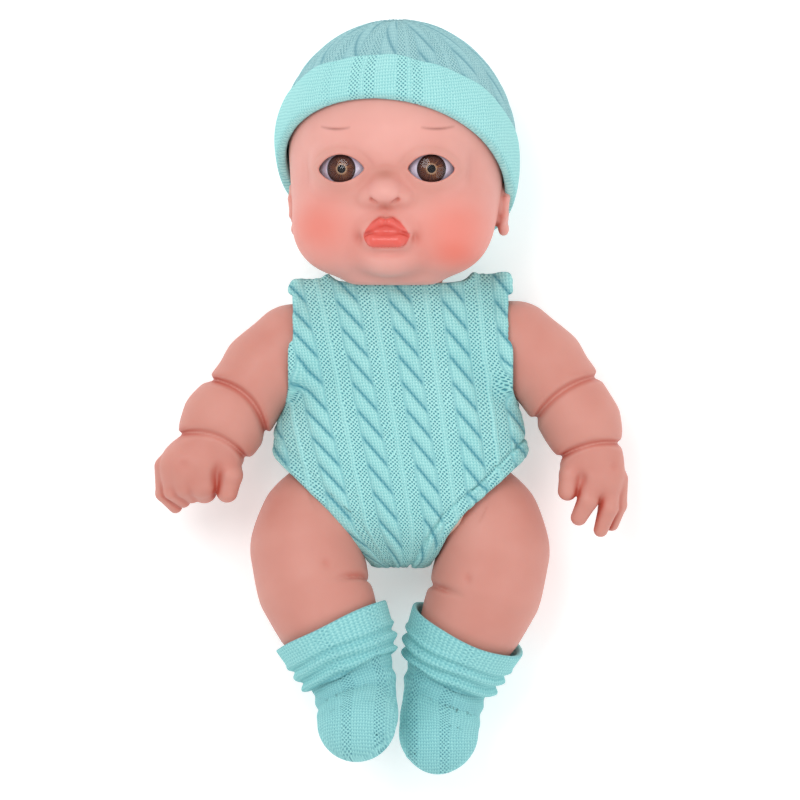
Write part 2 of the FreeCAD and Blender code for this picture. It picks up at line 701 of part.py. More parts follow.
def build_eye(name, place):
    """A clear lens over a white dome that carries the printed iris, held from behind by a ring."""
    radius, wall = CELL["eye_dome_radius"], CELL["eye_lens_wall"]
    low = 8.6  # height of the domes' rim above the dome's centre
    keep(name + "_eye_lens", dome(name + "_eye_lens", radius, radius - wall, low, place))
    white = dome(name + "_eye_white_dome", radius - wall - 0.05, radius - wall - 1.6, low, place)
    iris_face = DRIVING["eye_dome_radius"] - DRIVING["eye_lens_wall"] - 1.55
    well = cylinder(name + "_iris_well", CELL["iris_radius"] + 0.05, 5.0, (0, 0, iris_face - 0.5), where=place)
    keep(name + "_eye_white", cut(name + "_eye_white", white, well))
    iris = cylinder(name + "_iris_disc", CELL["iris_radius"], 0.4, (0, 0, iris_face - 0.5), where=place)
    pupil_hole = cylinder(name + "_pupil_hole", 1.75, 2.0, (0, 0, iris_face - 1.0), where=place)
    keep(name + "_iris", cut(name + "_iris", iris, pupil_hole))
    keep(name + "_pupil", cylinder(name + "_pupil", 1.7, 0.4, (0, 0, iris_face - 0.5), where=place))
    ring = cut(name + "_eye_ring_cut",
               cylinder(name + "_ring_outside", CELL["eye_half_width"] + 0.2, 3.0, (0, 0, low - 3.1), where=place),
               cylinder(name + "_ring_inside", CELL["eye_half_width"] - 2.4, 5.0, (0, 0, low - 4.0), where=place))
    keep(name + "_eye_retainer", ring)


# ---------------------------------------------------------------- hat

HAT_FRONT = (0, 119.0, 88.1)  # middle of the band's lower edge, over the forehead
HAT_SLOPE = 0.82  # how far the edge drops towards the nape for each millimetre back


def hat_space(label, lift):
    """Everything above the hat's tilted edge plane, raised by a distance."""
    angle = -math.degrees(math.atan(HAT_SLOPE))
    spot = Placement(Vector(-100, HAT_FRONT[1] + lift, HAT_FRONT[2]), Rotation(Vector(1, 0, 0), angle))
    tilted = box(label + "_tilted", (0, 0, -150), 200, 150, 300, where=HEAD * spot)
    return common(label, tilted, box(label + "_over_nape", (-100, 57, -50), 200, 150, 200, where=HEAD))


def build_hat():
    gap, cloth, band = CELL["hat_gap"], CELL["hat_cloth"], CELL["hat_band_cloth"]
    crown_out = head_loft("hat_crown_outside", grow=gap + cloth, inset=less(gap + cloth))
    crown_in = head_loft("hat_crown_inside", grow=gap, inset=less(gap))
    crown = common("hat_crown_cut", crown_out, hat_space("hat_crown_space", 5.0))
    keep("hat_crown", cut("hat_crown", crown, crown_in))
    band_out = head_loft("hat_band_outside", grow=gap + cloth + band, inset=less(gap + cloth))
    band_in = head_loft("hat_band_inside", grow=gap + cloth + 0.05, inset=less(gap + cloth))
    ring = cut("hat_band_ring", common("hat_band_low", band_out, hat_space("hat_band_space", 0.0)),
               hat_space("hat_band_top", 24.0))
    keep("hat_band", cut("hat_band", ring, band_in))


# ---------------------------------------------------------------- arms

ARM_RINGS = {  # centre, radius across and depth radius as shares of the arm's root radius
    -1: [((-45.5, 18.2, 31.5), 0.98, 0.97), ((-57.0, 11.6, 32.0), 0.95, 0.95), ((-64.3, -2.6, 33.0), 0.94, 0.92),
         ((-70.4, -11.0, 34.0), 0.98, 0.93), ((-75.6, -19.2, 35.0), 0.84, 0.82), ((-80.5, -28.0, 36.0), 1.02, 0.95),
         ((-83.5, -35.5, 37.0), 0.92, 0.86), ((-85.0, -40.0, 38.0), 0.52, 0.50)],
    1: [((45.5, 19.8, 31.5), 0.99, 0.97), ((57.4, 13.4, 32.0), 0.96, 0.95), ((66.4, 0.2, 33.0), 0.93, 0.92),
        ((72.8, -11.0, 34.0), 0.90, 0.87), ((76.6, -20.6, 35.0), 0.70, 0.70), ((77.2, -29.0, 36.0), 0.82, 0.68),
        ((77.7, -36.5, 37.0), 0.75, 0.58), ((78.0, -41.0, 37.5), 0.45, 0.38)],
}
FINGERS = {  # centre, half-length, radius, direction in the plane of the palm and downwards
    -1: [((-75.5, -37.0, 38.0), 7.5, 5.0, (0.15, -1.0, -0.3)), ((-83.5, -38.0, 40.0), 8.0, 4.6, (0.1, -1.0, -0.4)),
         ((-89.5, -37.0, 38.0), 8.0, 4.4, (0.25, -1.0, -0.5)), ((-93.5, -35.0, 35.0), 8.0, 4.2, (0.4, -1.0, -0.6)),
         ((-67.5, -33.5, 38.0), 7.5, 5.2, (-0.1, -1.0, 0.0))],
    1: [((69.2, -32.5, 38.0), 10.0, 4.2, (-0.1, -1.0, 0.1)), ((74.0, -43.0, 39.0), 10.5, 4.2, (-0.4, -1.0, -0.1)),
        ((81.0, -45.0, 37.0), 11.0, 4.2, (-0.15, -1.0, -0.2)), ((85.5, -41.5, 33.0), 10.5, 4.0, (0.0, -1.0, -0.2))],
}


def build_arm(name, side):
    axis = outward(side, SHOULDER_TILT)
    start = along(mirrored(SHOULDER_CENTRE, side), axis, DRIVING["joint_play"])
    root = CELL["arm_root_radius"]
    rings = [(start, root, root, axis)]
    rings += [(centre, root * wide, root * deep) for centre, wide, deep in ARM_RINGS[side]]
    outside = loft(name + "_arm_outside", rings)
    inside = loft(name + "_arm_inside", rings[:-3], grow=less(CELL["vinyl_wall"]), inset=CELL["vinyl_wall"])
    fingers = []
    for i, (centre, half_length, radius, direction) in enumerate(FINGERS[side]):
        turn = Rotation(Vector(0, 0, 1), Vector(*direction))
        fingers.append(ellipsoid(f"{name}_finger_{i}", centre, (radius, radius, half_length), turn=turn))
    spool_hole = cylinder(name + "_arm_hole", CELL["shoulder_spool_radius"], 8.0, along(start, axis, -2.0), axis)
    solid = fuse(name + "_arm_solid", outside, *fingers)
    keep(name + "_arm", cut(name + "_arm", solid, inside, spool_hole))
    keep(name + "_shoulder_spool",
         spool(name + "_shoulder_spool", CELL["shoulder_spool_radius"], CELL["socket_plate"], CELL["vinyl_wall"],
               mirrored(SHOULDER_CENTRE, side), axis, BODY))


# ---------------------------------------------------------------- legs and socks

LEG_RINGS = [  # the left leg: centre, radius across and depth radius as shares of the thigh's radius
    ((33.8, -50.0, 30.0), 0.96, 0.96, (0.6, -0.8, 0.0)),
    ((36.4, -64.0, 31.5), 0.99, 0.99, (0.0, -1.0, 0.1)),
    ((34.0, -78.0, 33.0), 0.955, 0.955),
    ((28.5, -91.0, 31.5), 0.87, 0.87),
    ((22.8, -103.0, 28.0), 0.76, 0.76),
    ((19.0, -112.0, 24.5), 0.66, 0.66),
    ((16.9, -121.0, 23.0), 0.62, 0.62),
    ((16.2, -130.0, 27.5), 0.60, 0.60),
    ((16.0, -137.0, 35.5), 0.60, 0.50),
    ((16.0, -141.5, 42.0), 0.54, 0.38),
    ((16.0, -144.0, 46.0), 0.30, 0.20),
]
KNEE = (34.0, -78.0, 33.0)
ANKLE = (18.5, -112.0, 24.5)
HIP_REST = {-1: 16.0, 1: 0.0}  # how far each leg is swung forward, in degrees


def hip_axis(side):
    """The hip's axis, along which a positive turn swings the leg forward on either side."""
    x, y, z = outward(side, HIP_TILT)
    return (-side * x, -side * y, z) if side > 0 else (x, y, z)


def build_leg(name, side):
    swing = BODY * turned_about(mirrored(HIP_CENTRE, side), hip_axis(side), HIP_REST[side])
    axis = outward(side, HIP_TILT)
    start = along(mirrored(HIP_CENTRE, side), axis, DRIVING["joint_play"])
    thigh = CELL["thigh_radius"]
    rings = [(start, thigh * 0.86, thigh * 0.86, axis)]
    for centre, wide, deep, *facing in LEG_RINGS:
        ring = (mirrored(centre, side), thigh * wide, thigh * deep)
        rings.append(ring + tuple(mirrored(direction, side) for direction in facing))
    outside = loft(name + "_leg_outside", rings, where=swing)
    inside = loft(name + "_leg_inside", rings[:-2], where=swing, grow=less(CELL["vinyl_wall"]),
                  inset=CELL["vinyl_wall"])
    spool_hole = cylinder(name + "_leg_hole", CELL["hip_spool_radius"], 8.0, along(start, axis, -2.0), axis, swing)
    # the thigh ends on one flat face, clear of the torso and of the romper's leg opening at every angle
    wall = float(CELL["vinyl_wall"])
    torso_side = cylinder(name + "_leg_end", 45.0, 20.0, along(start, axis, -20.0), axis, swing)
    end_wall = cylinder(name + "_leg_end_wall", 45.0, 20.0, along(start, axis, wall - 20.0), axis, swing)
    cavity = cut(name + "_leg_cavity", inside, end_wall)
    keep(name + "_leg", cut(name + "_leg", outside, cavity, spool_hole, torso_side))
    keep(name + "_hip_spool", spool(name + "_hip_spool", CELL["hip_spool_radius"], CELL["socket_plate"],
                                    CELL["vinyl_wall"], mirrored(HIP_CENTRE, side), axis, BODY))
    build_sock(name, side, rings, swing)


def shin_slab(label, swing, side, high, low):
    """The space between two planes square to the shin, at distances down it from the knee."""
    knee, ankle = Vector(*mirrored(KNEE, side)), Vector(*mirrored(ANKLE, side))
    down = (ankle - knee).normalize()
    return cylinder(label, 45.0, low - high, tuple(knee + down * high), tuple(down), swing)


def build_sock(name, side, rings, swing):
    """A sock: the part round the foot, and the turned-down cuff over its top."""
    gap, cloth = CELL["sock_gap"], CELL["sock_cloth"]
    outside = loft(name + "_sock_outside", rings, where=swing, grow=gap + cloth, inset=less(gap + cloth))
    inside = loft(name + "_sock_inside", rings, where=swing, grow=gap, inset=less(gap))
    foot = cut(name + "_sock_whole", outside, inside)
    below = shin_slab(name + "_sock_space", swing, side, 18, 90)
    keep(name + "_sock_foot", common(name + "_sock_foot", foot, below))
    cuff_out = loft(name + "_cuff_outside", rings, where=swing, grow=gap + cloth * 2.0)
    cuff_in = loft(name + "_cuff_inside", rings, where=swing, grow=gap + cloth + 0.05)
    ring = cut(name + "_cuff_ring", cuff_out, cuff_in)
    band = shin_slab(name + "_cuff_space", swing, side, 17, 36)
    keep(name + "_sock_cuff", common(name + "_sock_cuff", ring, band))


# ---------------------------------------------------------------- romper


def build_romper():
    gap, cloth = CELL["romper_gap"], CELL["romper_cloth"]
    outside = torso_loft("romper_outside", grow=gap + cloth, inset=less(cloth))
    inside = torso_loft("romper_inside", grow=gap, inset=less(gap))
    neck = (0, 40.0, DRIVING["neck_height"] - 3.0)
    under = box("under_the_back", (-80, -90, -20), 160, 180, 20)  # the back lies flat on this
    holes = [under, cylinder("romper_neck", 27.4, 30.0, neck, (0, 1, 0))]
    for name, side in (("right", -1), ("left", 1)):
        arm_axis, leg_axis = outward(side, SHOULDER_TILT), outward(side, HIP_TILT)
        holes.append(cylinder(name + "_armhole", 21.5, 40.0, mirrored(SHOULDER_CENTRE, side), arm_axis))
        holes.append(cylinder(name + "_leghole", 29.5, 50.0, mirrored(HIP_CENTRE, side), leg_axis))
    romper = cut("romper_whole", outside, inside, *holes)
    strip = box("fastener_stock", (-6.0, -4.0, -5.0), 12.0, 44.0, 25.0)
    keep("romper_back_fastener", common("romper_back_fastener", romper, strip))
    keep("romper", cut("romper", romper, strip))


# ---------------------------------------------------------------- check and write


def main():
    build_torso()
    build_battery_box()
    build_speaker()
    build_circuit()
    build_button()
    build_switch()
    build_wiring()
    build_head()
    build_hat()
    for name, side in (("right", -1), ("left", 1)):
        build_arm(name, side)
        build_leg(name, side)
    build_romper()
    doc.recompute()
    failed = [thing.Label for thing in doc.Objects if {"Invalid", "Error"} & set(thing.State)]
    if failed:
        raise RuntimeError(f"features failed: {failed}")
    os.makedirs("parts", exist_ok=True)
    for name, thing in NODES.items():
        shape = thing.Shape
        if shape.isNull() or not shape.isValid() or not shape.Solids:
            raise RuntimeError(f"{name} has no valid solid")
        shape.exportStep(f"parts/{name}.step")
        print(f"{name}: {len(shape.Solids)} solids, {shape.Volume / 1000:.2f} cm3")


main()
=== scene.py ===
"""Interactive baby doll: sculpted vinyl head and limbs, knitted romper, hat and socks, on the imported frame.

The shapes are written as distance fields in millimetres, in the frame's axes, with X counted from the doll's
own middle. Each field is meshed on a grid, and the mesh is then moved onto the field's zero level.
"""

import json
import math

import bpy
import numpy as np
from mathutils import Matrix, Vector


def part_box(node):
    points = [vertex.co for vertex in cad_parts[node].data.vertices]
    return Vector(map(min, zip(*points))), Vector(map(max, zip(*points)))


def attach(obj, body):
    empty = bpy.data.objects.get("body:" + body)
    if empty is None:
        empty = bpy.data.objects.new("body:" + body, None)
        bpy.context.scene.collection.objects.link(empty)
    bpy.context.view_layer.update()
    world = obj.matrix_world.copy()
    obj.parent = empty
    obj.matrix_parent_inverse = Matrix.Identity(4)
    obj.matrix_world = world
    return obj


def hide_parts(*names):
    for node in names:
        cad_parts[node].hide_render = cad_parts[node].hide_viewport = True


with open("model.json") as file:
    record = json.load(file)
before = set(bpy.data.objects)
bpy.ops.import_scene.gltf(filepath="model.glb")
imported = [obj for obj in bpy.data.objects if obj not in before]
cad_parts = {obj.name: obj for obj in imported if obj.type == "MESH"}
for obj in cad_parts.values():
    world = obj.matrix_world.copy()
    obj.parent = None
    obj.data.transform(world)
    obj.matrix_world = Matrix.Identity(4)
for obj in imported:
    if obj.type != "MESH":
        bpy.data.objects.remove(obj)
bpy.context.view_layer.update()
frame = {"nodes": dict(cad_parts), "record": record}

MM = 0.001


def box_mm(node):
    """Lowest and highest corner of a CAD node, in millimetres."""
    low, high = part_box(node)
    return np.array(low) / MM, np.array(high) / MM


JOINTS = {joint["name"]: joint for joint in frame["record"]["behaviour"]["joints"]}
NECK = np.array(JOINTS["neck_turn"]["pos_m"]) / MM
AXIS_X = NECK[0]  # the body's middle
HEAD_YAW = math.radians(-6.5)
HIP_SWING = {"right": 16.0, "left": 0.0}


# ---------------------------------------------------------------- distance fields


def ball(p, centre, radii):
    """Distance from an ellipsoid, near enough for blending."""
    q = (p - centre) / radii
    near = np.linalg.norm(q, axis=1)
    slope = np.linalg.norm(q / radii, axis=1)
    return near * (near - 1) / np.maximum(slope, 1e-6)


def bone(p, a, b, ra, rb):
    """Distance from a round bar whose radius goes from ra at a to rb at b."""
    a, b = np.array(a, float), np.array(b, float)
    run = b - a
    share = np.clip((p - a) @ run / (run @ run), 0, 1)
    return np.linalg.norm(p - a - share[:, None] * run, axis=1) - ra - share * (rb - ra)


def join(k, *fields):
    """Union with a fillet of about k."""
    total = fields[0]
    for other in fields[1:]:
        mix = np.clip(0.5 + 0.5 * (other - total) / k, 0, 1)
        total = other + (total - other) * mix - k * mix * (1 - mix)
    return total


def overlap(k, *fields):
    """Intersection with a rounded edge of about k."""
    return -join(k, *(-field for field in fields))


def carve(k, field, tool):
    return overlap(k, field, -tool)


def bump(p, centre, widths, axes=(0, 1, 2)):
    """A smooth lump of height 1 at a centre, counted along some axes only."""
    total = 0
    for axis, middle, width in zip(axes, centre, widths):
        total = total + ((p[:, axis] - middle) / width) ** 2
    return np.exp(-total)


def bell(value, middle, width):
    """1 at the middle, falling evenly to nothing about two widths away."""
    return np.exp(-(((value - middle) / width) ** 2))


def crease(p, point, normal, width, curve=0.0, across=None):
    """A ring-shaped furrow of depth 1 where a plane, or a bowl when curve isn't 0, cuts the shape."""
    normal = np.array(normal, float) / np.linalg.norm(normal)
    level = (p - point) @ normal
    if curve:
        side = np.array(across, float)
        level = level - curve * ((p - point) @ side) ** 2
    return bell(level, 0, width)


def smooth_step(value, low, high):
    """0 below low, 1 above high, and an even curve between them."""
    share = np.clip((value - low) / (high - low), 0, 1)
    return share * share * (3 - 2 * share)


def spline(knots, samples=200):
    """A table of a smooth curve through (position, values...) knots, for np.interp."""
    knots = np.array(sorted(knots), float)
    x, y = knots[:, 0], knots[:, 1:]
    slope = np.gradient(y, x, axis=0)
    at = np.linspace(x[0], x[-1], samples)
    i = np.clip(np.searchsorted(x, at) - 1, 0, len(x) - 2)
    gap = (x[i + 1] - x[i])[:, None]
    t = ((at - x[i])[:, None]) / gap
    value = ((2 * t**3 - 3 * t**2 + 1) * y[i] + (t**3 - 2 * t**2 + t) * gap * slope[i]
             + (-2 * t**3 + 3 * t**2) * y[i + 1] + (t**3 - t**2) * gap * slope[i + 1])
    return at, value


def chain(p, stations, k):
    """A limb of round bars flattened in Z, through (point, radius across, radius in depth) stations."""
    parts = []
    for (a, wide_a, deep_a), (b, wide_b, deep_b) in zip(stations, stations[1:]):
        squash = np.array([1, 1, (wide_a + wide_b) / (deep_a + deep_b)])
        middle = np.array([0, 0, (a[2] + b[2]) / 2])
        q = (p - middle) * squash + middle
        start = (np.array(a, float) - middle) * squash + middle
        stop = (np.array(b, float) - middle) * squash + middle
        parts.append(bone(q, start, stop, wide_a, wide_b))
    return join(k, *parts)


# ---------------------------------------------------------------- meshing


def grid_lines(low, high, coarse, fine, span):
    """Grid positions from low to high, closer together inside a span."""
    lines = [np.linspace(low, span[0], max(2, int((span[0] - low) / coarse) + 1))[:-1],
             np.linspace(span[0], span[1], int((span[1] - span[0]) / fine) + 1),
             np.linspace(span[1], high, max(2, int((high - span[1]) / coarse) + 1))[1:]]
    return np.concatenate(lines)


def sample_grid(field, xs, ys, zs, block=6):
    """The field on the grid, worked out only near its zero level and elsewhere just its sign."""
    counts = [len(xs), len(ys), len(zs)]
    starts = [np.arange(0, n, block) for n in counts]
    ends = [np.minimum(s + block, n - 1) for s, n in zip(starts, counts)]
    axes = (xs, ys, zs)
    middles = [(a[s] + a[e]) / 2 for a, s, e in zip(axes, starts, ends)]
    halves = [(a[e] - a[s]) / 2 for a, s, e in zip(axes, starts, ends)]
    centre = np.stack(np.meshgrid(*middles, indexing="ij"), -1).reshape(-1, 3)
    half = np.stack(np.meshgrid(*halves, indexing="ij"), -1).reshape(-1, 3)
    shape = [len(s) for s in starts]
    level = field(centre).reshape(shape)
    near = np.abs(level) < (np.linalg.norm(half, axis=1) * 1.25 + 2.0).reshape(shape)

    def spread(array):
        for axis, n in enumerate(counts):
            array = np.repeat(array, block, axis=axis).take(np.arange(n), axis=axis)
        return array

    values = np.where(spread(level) < 0, -1.0, 1.0)
    wanted = np.nonzero(spread(near))
    points = np.stack([xs[wanted[0]], ys[wanted[1]], zs[wanted[2]]], 1)
    parts = np.array_split(points, len(points) // 400000 + 1)
    values[wanted] = np.concatenate([field(part) for part in parts])
    return values


def surface(field, xs, ys, zs, passes=2):
    """Points and four-sided faces of the field's zero level."""
    values = sample_grid(field, xs, ys, zs)
    inside = values < 0
    corners = [(i, j, k) for i in (0, 1) for j in (0, 1) for k in (0, 1)]
    size = [n - 1 for n in values.shape]

    def shifted(array, corner):
        return array[tuple(slice(c, c + n) for c, n in zip(corner, size))]

    total = sum(shifted(inside, c).astype(np.int8) for c in corners)
    active = np.nonzero((total > 0) & (total < 8))
    number = np.full(size, -1, np.int64)
    number[active] = np.arange(len(active[0]))
    place = np.zeros((len(active[0]), 3))
    count = np.zeros(len(active[0]))
    axes = (xs, ys, zs)
    for a in corners:
        for axis in range(3):
            if a[axis]:
                continue
            b = tuple(1 if n == axis else v for n, v in enumerate(a))
            va = values[active[0] + a[0], active[1] + a[1], active[2] + a[2]]
            vb = values[active[0] + b[0], active[1] + b[1], active[2] + b[2]]
            crossed = (va < 0) != (vb < 0)
            share = np.where(crossed, va / np.where(crossed, va - vb, 1), 0)
            for n in range(3):
                first = axes[n][active[n] + a[n]]
                last = axes[n][active[n] + b[n]]
                place[:, n] += np.where(crossed, first + (last - first) * share, 0)
            count += crossed
    points = place / count[:, None]
    faces = []
    for axis in range(3):
        u, v = (axis + 1) % 3, (axis + 2) % 3
        low = [slice(1, -1)] * 3
        high = [slice(1, -1)] * 3
        low[axis], high[axis] = slice(0, -1), slice(1, None)
        first, last = inside[tuple(low)], inside[tuple(high)]
        crossing = np.nonzero(first != last)
        start = [c + (0 if n == axis else 1) for n, c in enumerate(crossing)]
        leaving = first[crossing]

        def cell(du, dv):
            at = list(start)
            at[u] = at[u] - du
            at[v] = at[v] - dv
            return number[tuple(at)]

        quad = np.stack([cell(1, 1), cell(0, 1), cell(0, 0), cell(1, 0)], 1)
        quad[~leaving] = quad[~leaving][:, ::-1]
        faces.append(quad)
    faces = np.concatenate(faces)
    for _ in range(passes):
        slope = gradient(field, points, 0.15)
        size2 = np.maximum((slope**2).sum(1), 0.3)
        step = field(points)[:, None] * slope / size2[:, None]
        reach = np.linalg.norm(step, axis=1)[:, None]
        points = points - step * np.minimum(1, 0.6 / np.maximum(reach, 1e-9))
    return points, faces


def gradient(field, points, step):
    parts = []
    for axis in range(3):
        move = np.zeros(3)
        move[axis] = step
        parts.append((field(points + move) - field(points - move)) / (2 * step))
    return np.stack(parts, 1)


def normals_of(field, points):
    slope = gradient(field, points, 0.4)
    return slope / np.maximum(np.linalg.norm(slope, axis=1), 1e-9)[:, None]


def even_mesh(field, low, high, step):
    """Points, faces and normals of a field, meshed on an even grid."""
    xs, ys, zs = (np.arange(a, b + step, step) for a, b in zip(low, high))
    points, faces = surface(field, xs, ys, zs)
    return points, faces, normals_of(field, points)


def weave_of(across, down):
    """The knitting's own coordinates as one three-part value per point."""
    return np.stack([across, down, np.zeros(len(down))], 1)


def hollow_of(field, points, normals, reach):
    """0 on open surfaces, up to 1 at the bottom of narrow furrows."""
    return np.clip(1 - field(points + normals * reach) / reach, 0, 1)


def add_mesh(name, points, faces, masks, material):
    """A Blender object from points in millimetres from the body's middle, and its masks' values per point."""
    mesh = bpy.data.meshes.new(name)
    points = np.asarray(points, float) + (AXIS_X, 0, 0)
    faces = np.asarray(faces)
    mesh.vertices.add(len(points))
    mesh.vertices.foreach_set("co", (points * MM).ravel())
    mesh.loops.add(faces.size)
    mesh.loops.foreach_set("vertex_index", faces.ravel().astype(np.int32))
    mesh.polygons.add(len(faces))
    mesh.polygons.foreach_set("loop_start", np.arange(0, faces.size, faces.shape[1], dtype=np.int32))
    mesh.update(calc_edges=True)
    mesh.validate()
    mesh.polygons.foreach_set("use_smooth", np.full(len(mesh.polygons), True))
    for mask, values in masks.items():
        values = np.asarray(values, np.float32)
        kind = "FLOAT" if values.ndim == 1 else "FLOAT_VECTOR"
        layer = mesh.attributes.new(mask, kind, "POINT")
        layer.data.foreach_set("value" if values.ndim == 1 else "vector", values.ravel())
    piece = bpy.data.objects.new(name, mesh)
    bpy.context.scene.collection.objects.link(piece)
    mesh.materials.append(material)
    return piece


def turned(points, centre, axis, angle):
    """Points turned about an axis through a centre, by the right-hand rule."""
    axis = np.array(axis, float) / np.linalg.norm(axis)
    q = points - centre
    c, s = math.cos(angle), math.sin(angle)
    along = (q @ axis)[:, None] * axis
    return centre + q * c + np.cross(axis, q) * s + along * (1 - c)


# ---------------------------------------------------------------- materials


REPEAT = 19.0  # width of the knitting's pattern: a cable, lace, a rib and lace again
CABLE_HALF = 4.0
CROSSING = 10.9  # length of one turn of the cable
CABLE_SLANT = 1.45  # how far a cable's furrow runs down for each millimetre across
HOLE_PITCH = 1.6
STITCH_WIDTH = 0.55
STITCH_LENGTH = 1.25


class Nodes:
    """A material's node tree, with short calls for what these materials need."""

    def __init__(self, name):
        self.material = bpy.data.materials.new(name)
        self.material.use_nodes = True
        self.tree = self.material.node_tree
        self.tree.nodes.clear()
        self.output = self.tree.nodes.new("ShaderNodeOutputMaterial")

    def add(self, kind, inputs=None, **settings):
        node = self.tree.nodes.new("ShaderNode" + kind)
        for key, value in settings.items():
            setattr(node, key, value)
        for key, value in (inputs or {}).items():
            self.put(node.inputs[key], value)
        return node

    def put(self, socket, value):
        if isinstance(value, bpy.types.NodeSocket):
            self.tree.links.new(value, socket)
        elif isinstance(value, bpy.types.Node):
            self.tree.links.new(value.outputs[0], socket)
        elif hasattr(value, "__len__") and len(value) == 3 and len(socket.default_value) == 4:
            socket.default_value = (*value, 1)
        else:
            socket.default_value = value

    def math(self, operation, a, b=0.0, c=0.0, clamp=False):
        node = self.add("Math", {0: a, 1: b}, operation=operation, use_clamp=clamp)
        if operation in ("MULTIPLY_ADD", "WRAP"):
            self.put(node.inputs[2], c)
        return node

    def mix(self, share, a, b, blend="MIX"):
        node = self.add("Mix", data_type="RGBA", blend_type=blend)
        self.put(node.inputs[0], share)
        self.put(node.inputs[6], a)
        self.put(node.inputs[7], b)
        return node.outputs[2]

    def mask(self, name):
        return self.add("Attribute", attribute_name=name).outputs["Fac"]

    def spots(self, scale, detail=3.0, roughness=0.5):
        """Noise in the object's own coordinates, scale per metre."""
        place = self.add("TexCoord").outputs["Object"]
        settings = {"Vector": place, "Scale": scale, "Detail": detail, "Roughness": roughness}
        return self.add("TexNoise", settings)

    def scaled(self, factors):
        """The object's own coordinates, each multiplied by its factor."""
        place = self.add("TexCoord").outputs["Object"]
        return self.add("VectorMath", {0: place, 1: factors}, operation="MULTIPLY")

    def ramp(self, value, low, high, first=0.0, last=1.0):
        """From first to last as the value goes from low to high."""
        span = {"From Min": low, "From Max": high, "To Min": first, "To Max": last}
        return self.add("MapRange", {"Value": value, **span}).outputs[0]

    def finish(self, colour, rough, height=None, depth=0.0002, **sockets):
        surface_node = self.add("BsdfPrincipled", {"Base Color": colour, "Roughness": rough})
        if height is not None:
            raised = self.add("Bump", {"Height": height, "Distance": depth, "Strength": 1.0})
            self.put(surface_node.inputs["Normal"], raised)
        for key, value in sockets.items():
            self.put(surface_node.inputs[key.replace("_", " ")], value)
        self.tree.links.new(surface_node.outputs[0], self.output.inputs[0])
        return self.material


def linear(red, green, blue):
    """A screen colour of 0 to 255 as the linear values that shaders use."""
    out = []
    for value in (red, green, blue):
        value = value / 255
        out.append(value / 12.92 if value <= 0.04045 else ((value + 0.055) / 1.055) ** 2.4)
    return tuple(out)


def skin_material(name, base, deep, masks=()):
    """Soft vinyl with painted shade, redder, in its furrows, and tints painted where the masks are, some of
    them painted shade.
    """
    n = Nodes(name)
    cloud = n.spots(60, 2)
    colour = n.mix(n.ramp(cloud, 0.35, 0.65), base, tuple(c * f for c, f in zip(base, (0.965, 0.93, 0.92))))
    for mask, tint, strength in masks:
        colour = n.mix(n.math("MULTIPLY", n.mask(mask), strength, clamp=True), colour, tint)
    # painted shade: the deep colour multiplied in where the hollow mask marks furrows
    colour = n.mix(n.mask("hollow"), colour, deep, "MULTIPLY")
    grain = n.spots(2600, 2)
    speck = n.spots(900, 3)
    rough = n.math("MULTIPLY_ADD", n.ramp(speck, 0.3, 0.7), 0.10, 0.44)
    gloss = n.math("MULTIPLY", n.mask("gloss"), 0.30)
    rough = n.math("SUBTRACT", rough, gloss, clamp=True)
    return n.finish(colour, rough, grain, 0.00004, Subsurface_Weight=0.12, Subsurface_Radius=(1.0, 0.35, 0.2),
                    Subsurface_Scale=0.003, Specular_IOR_Level=0.35)


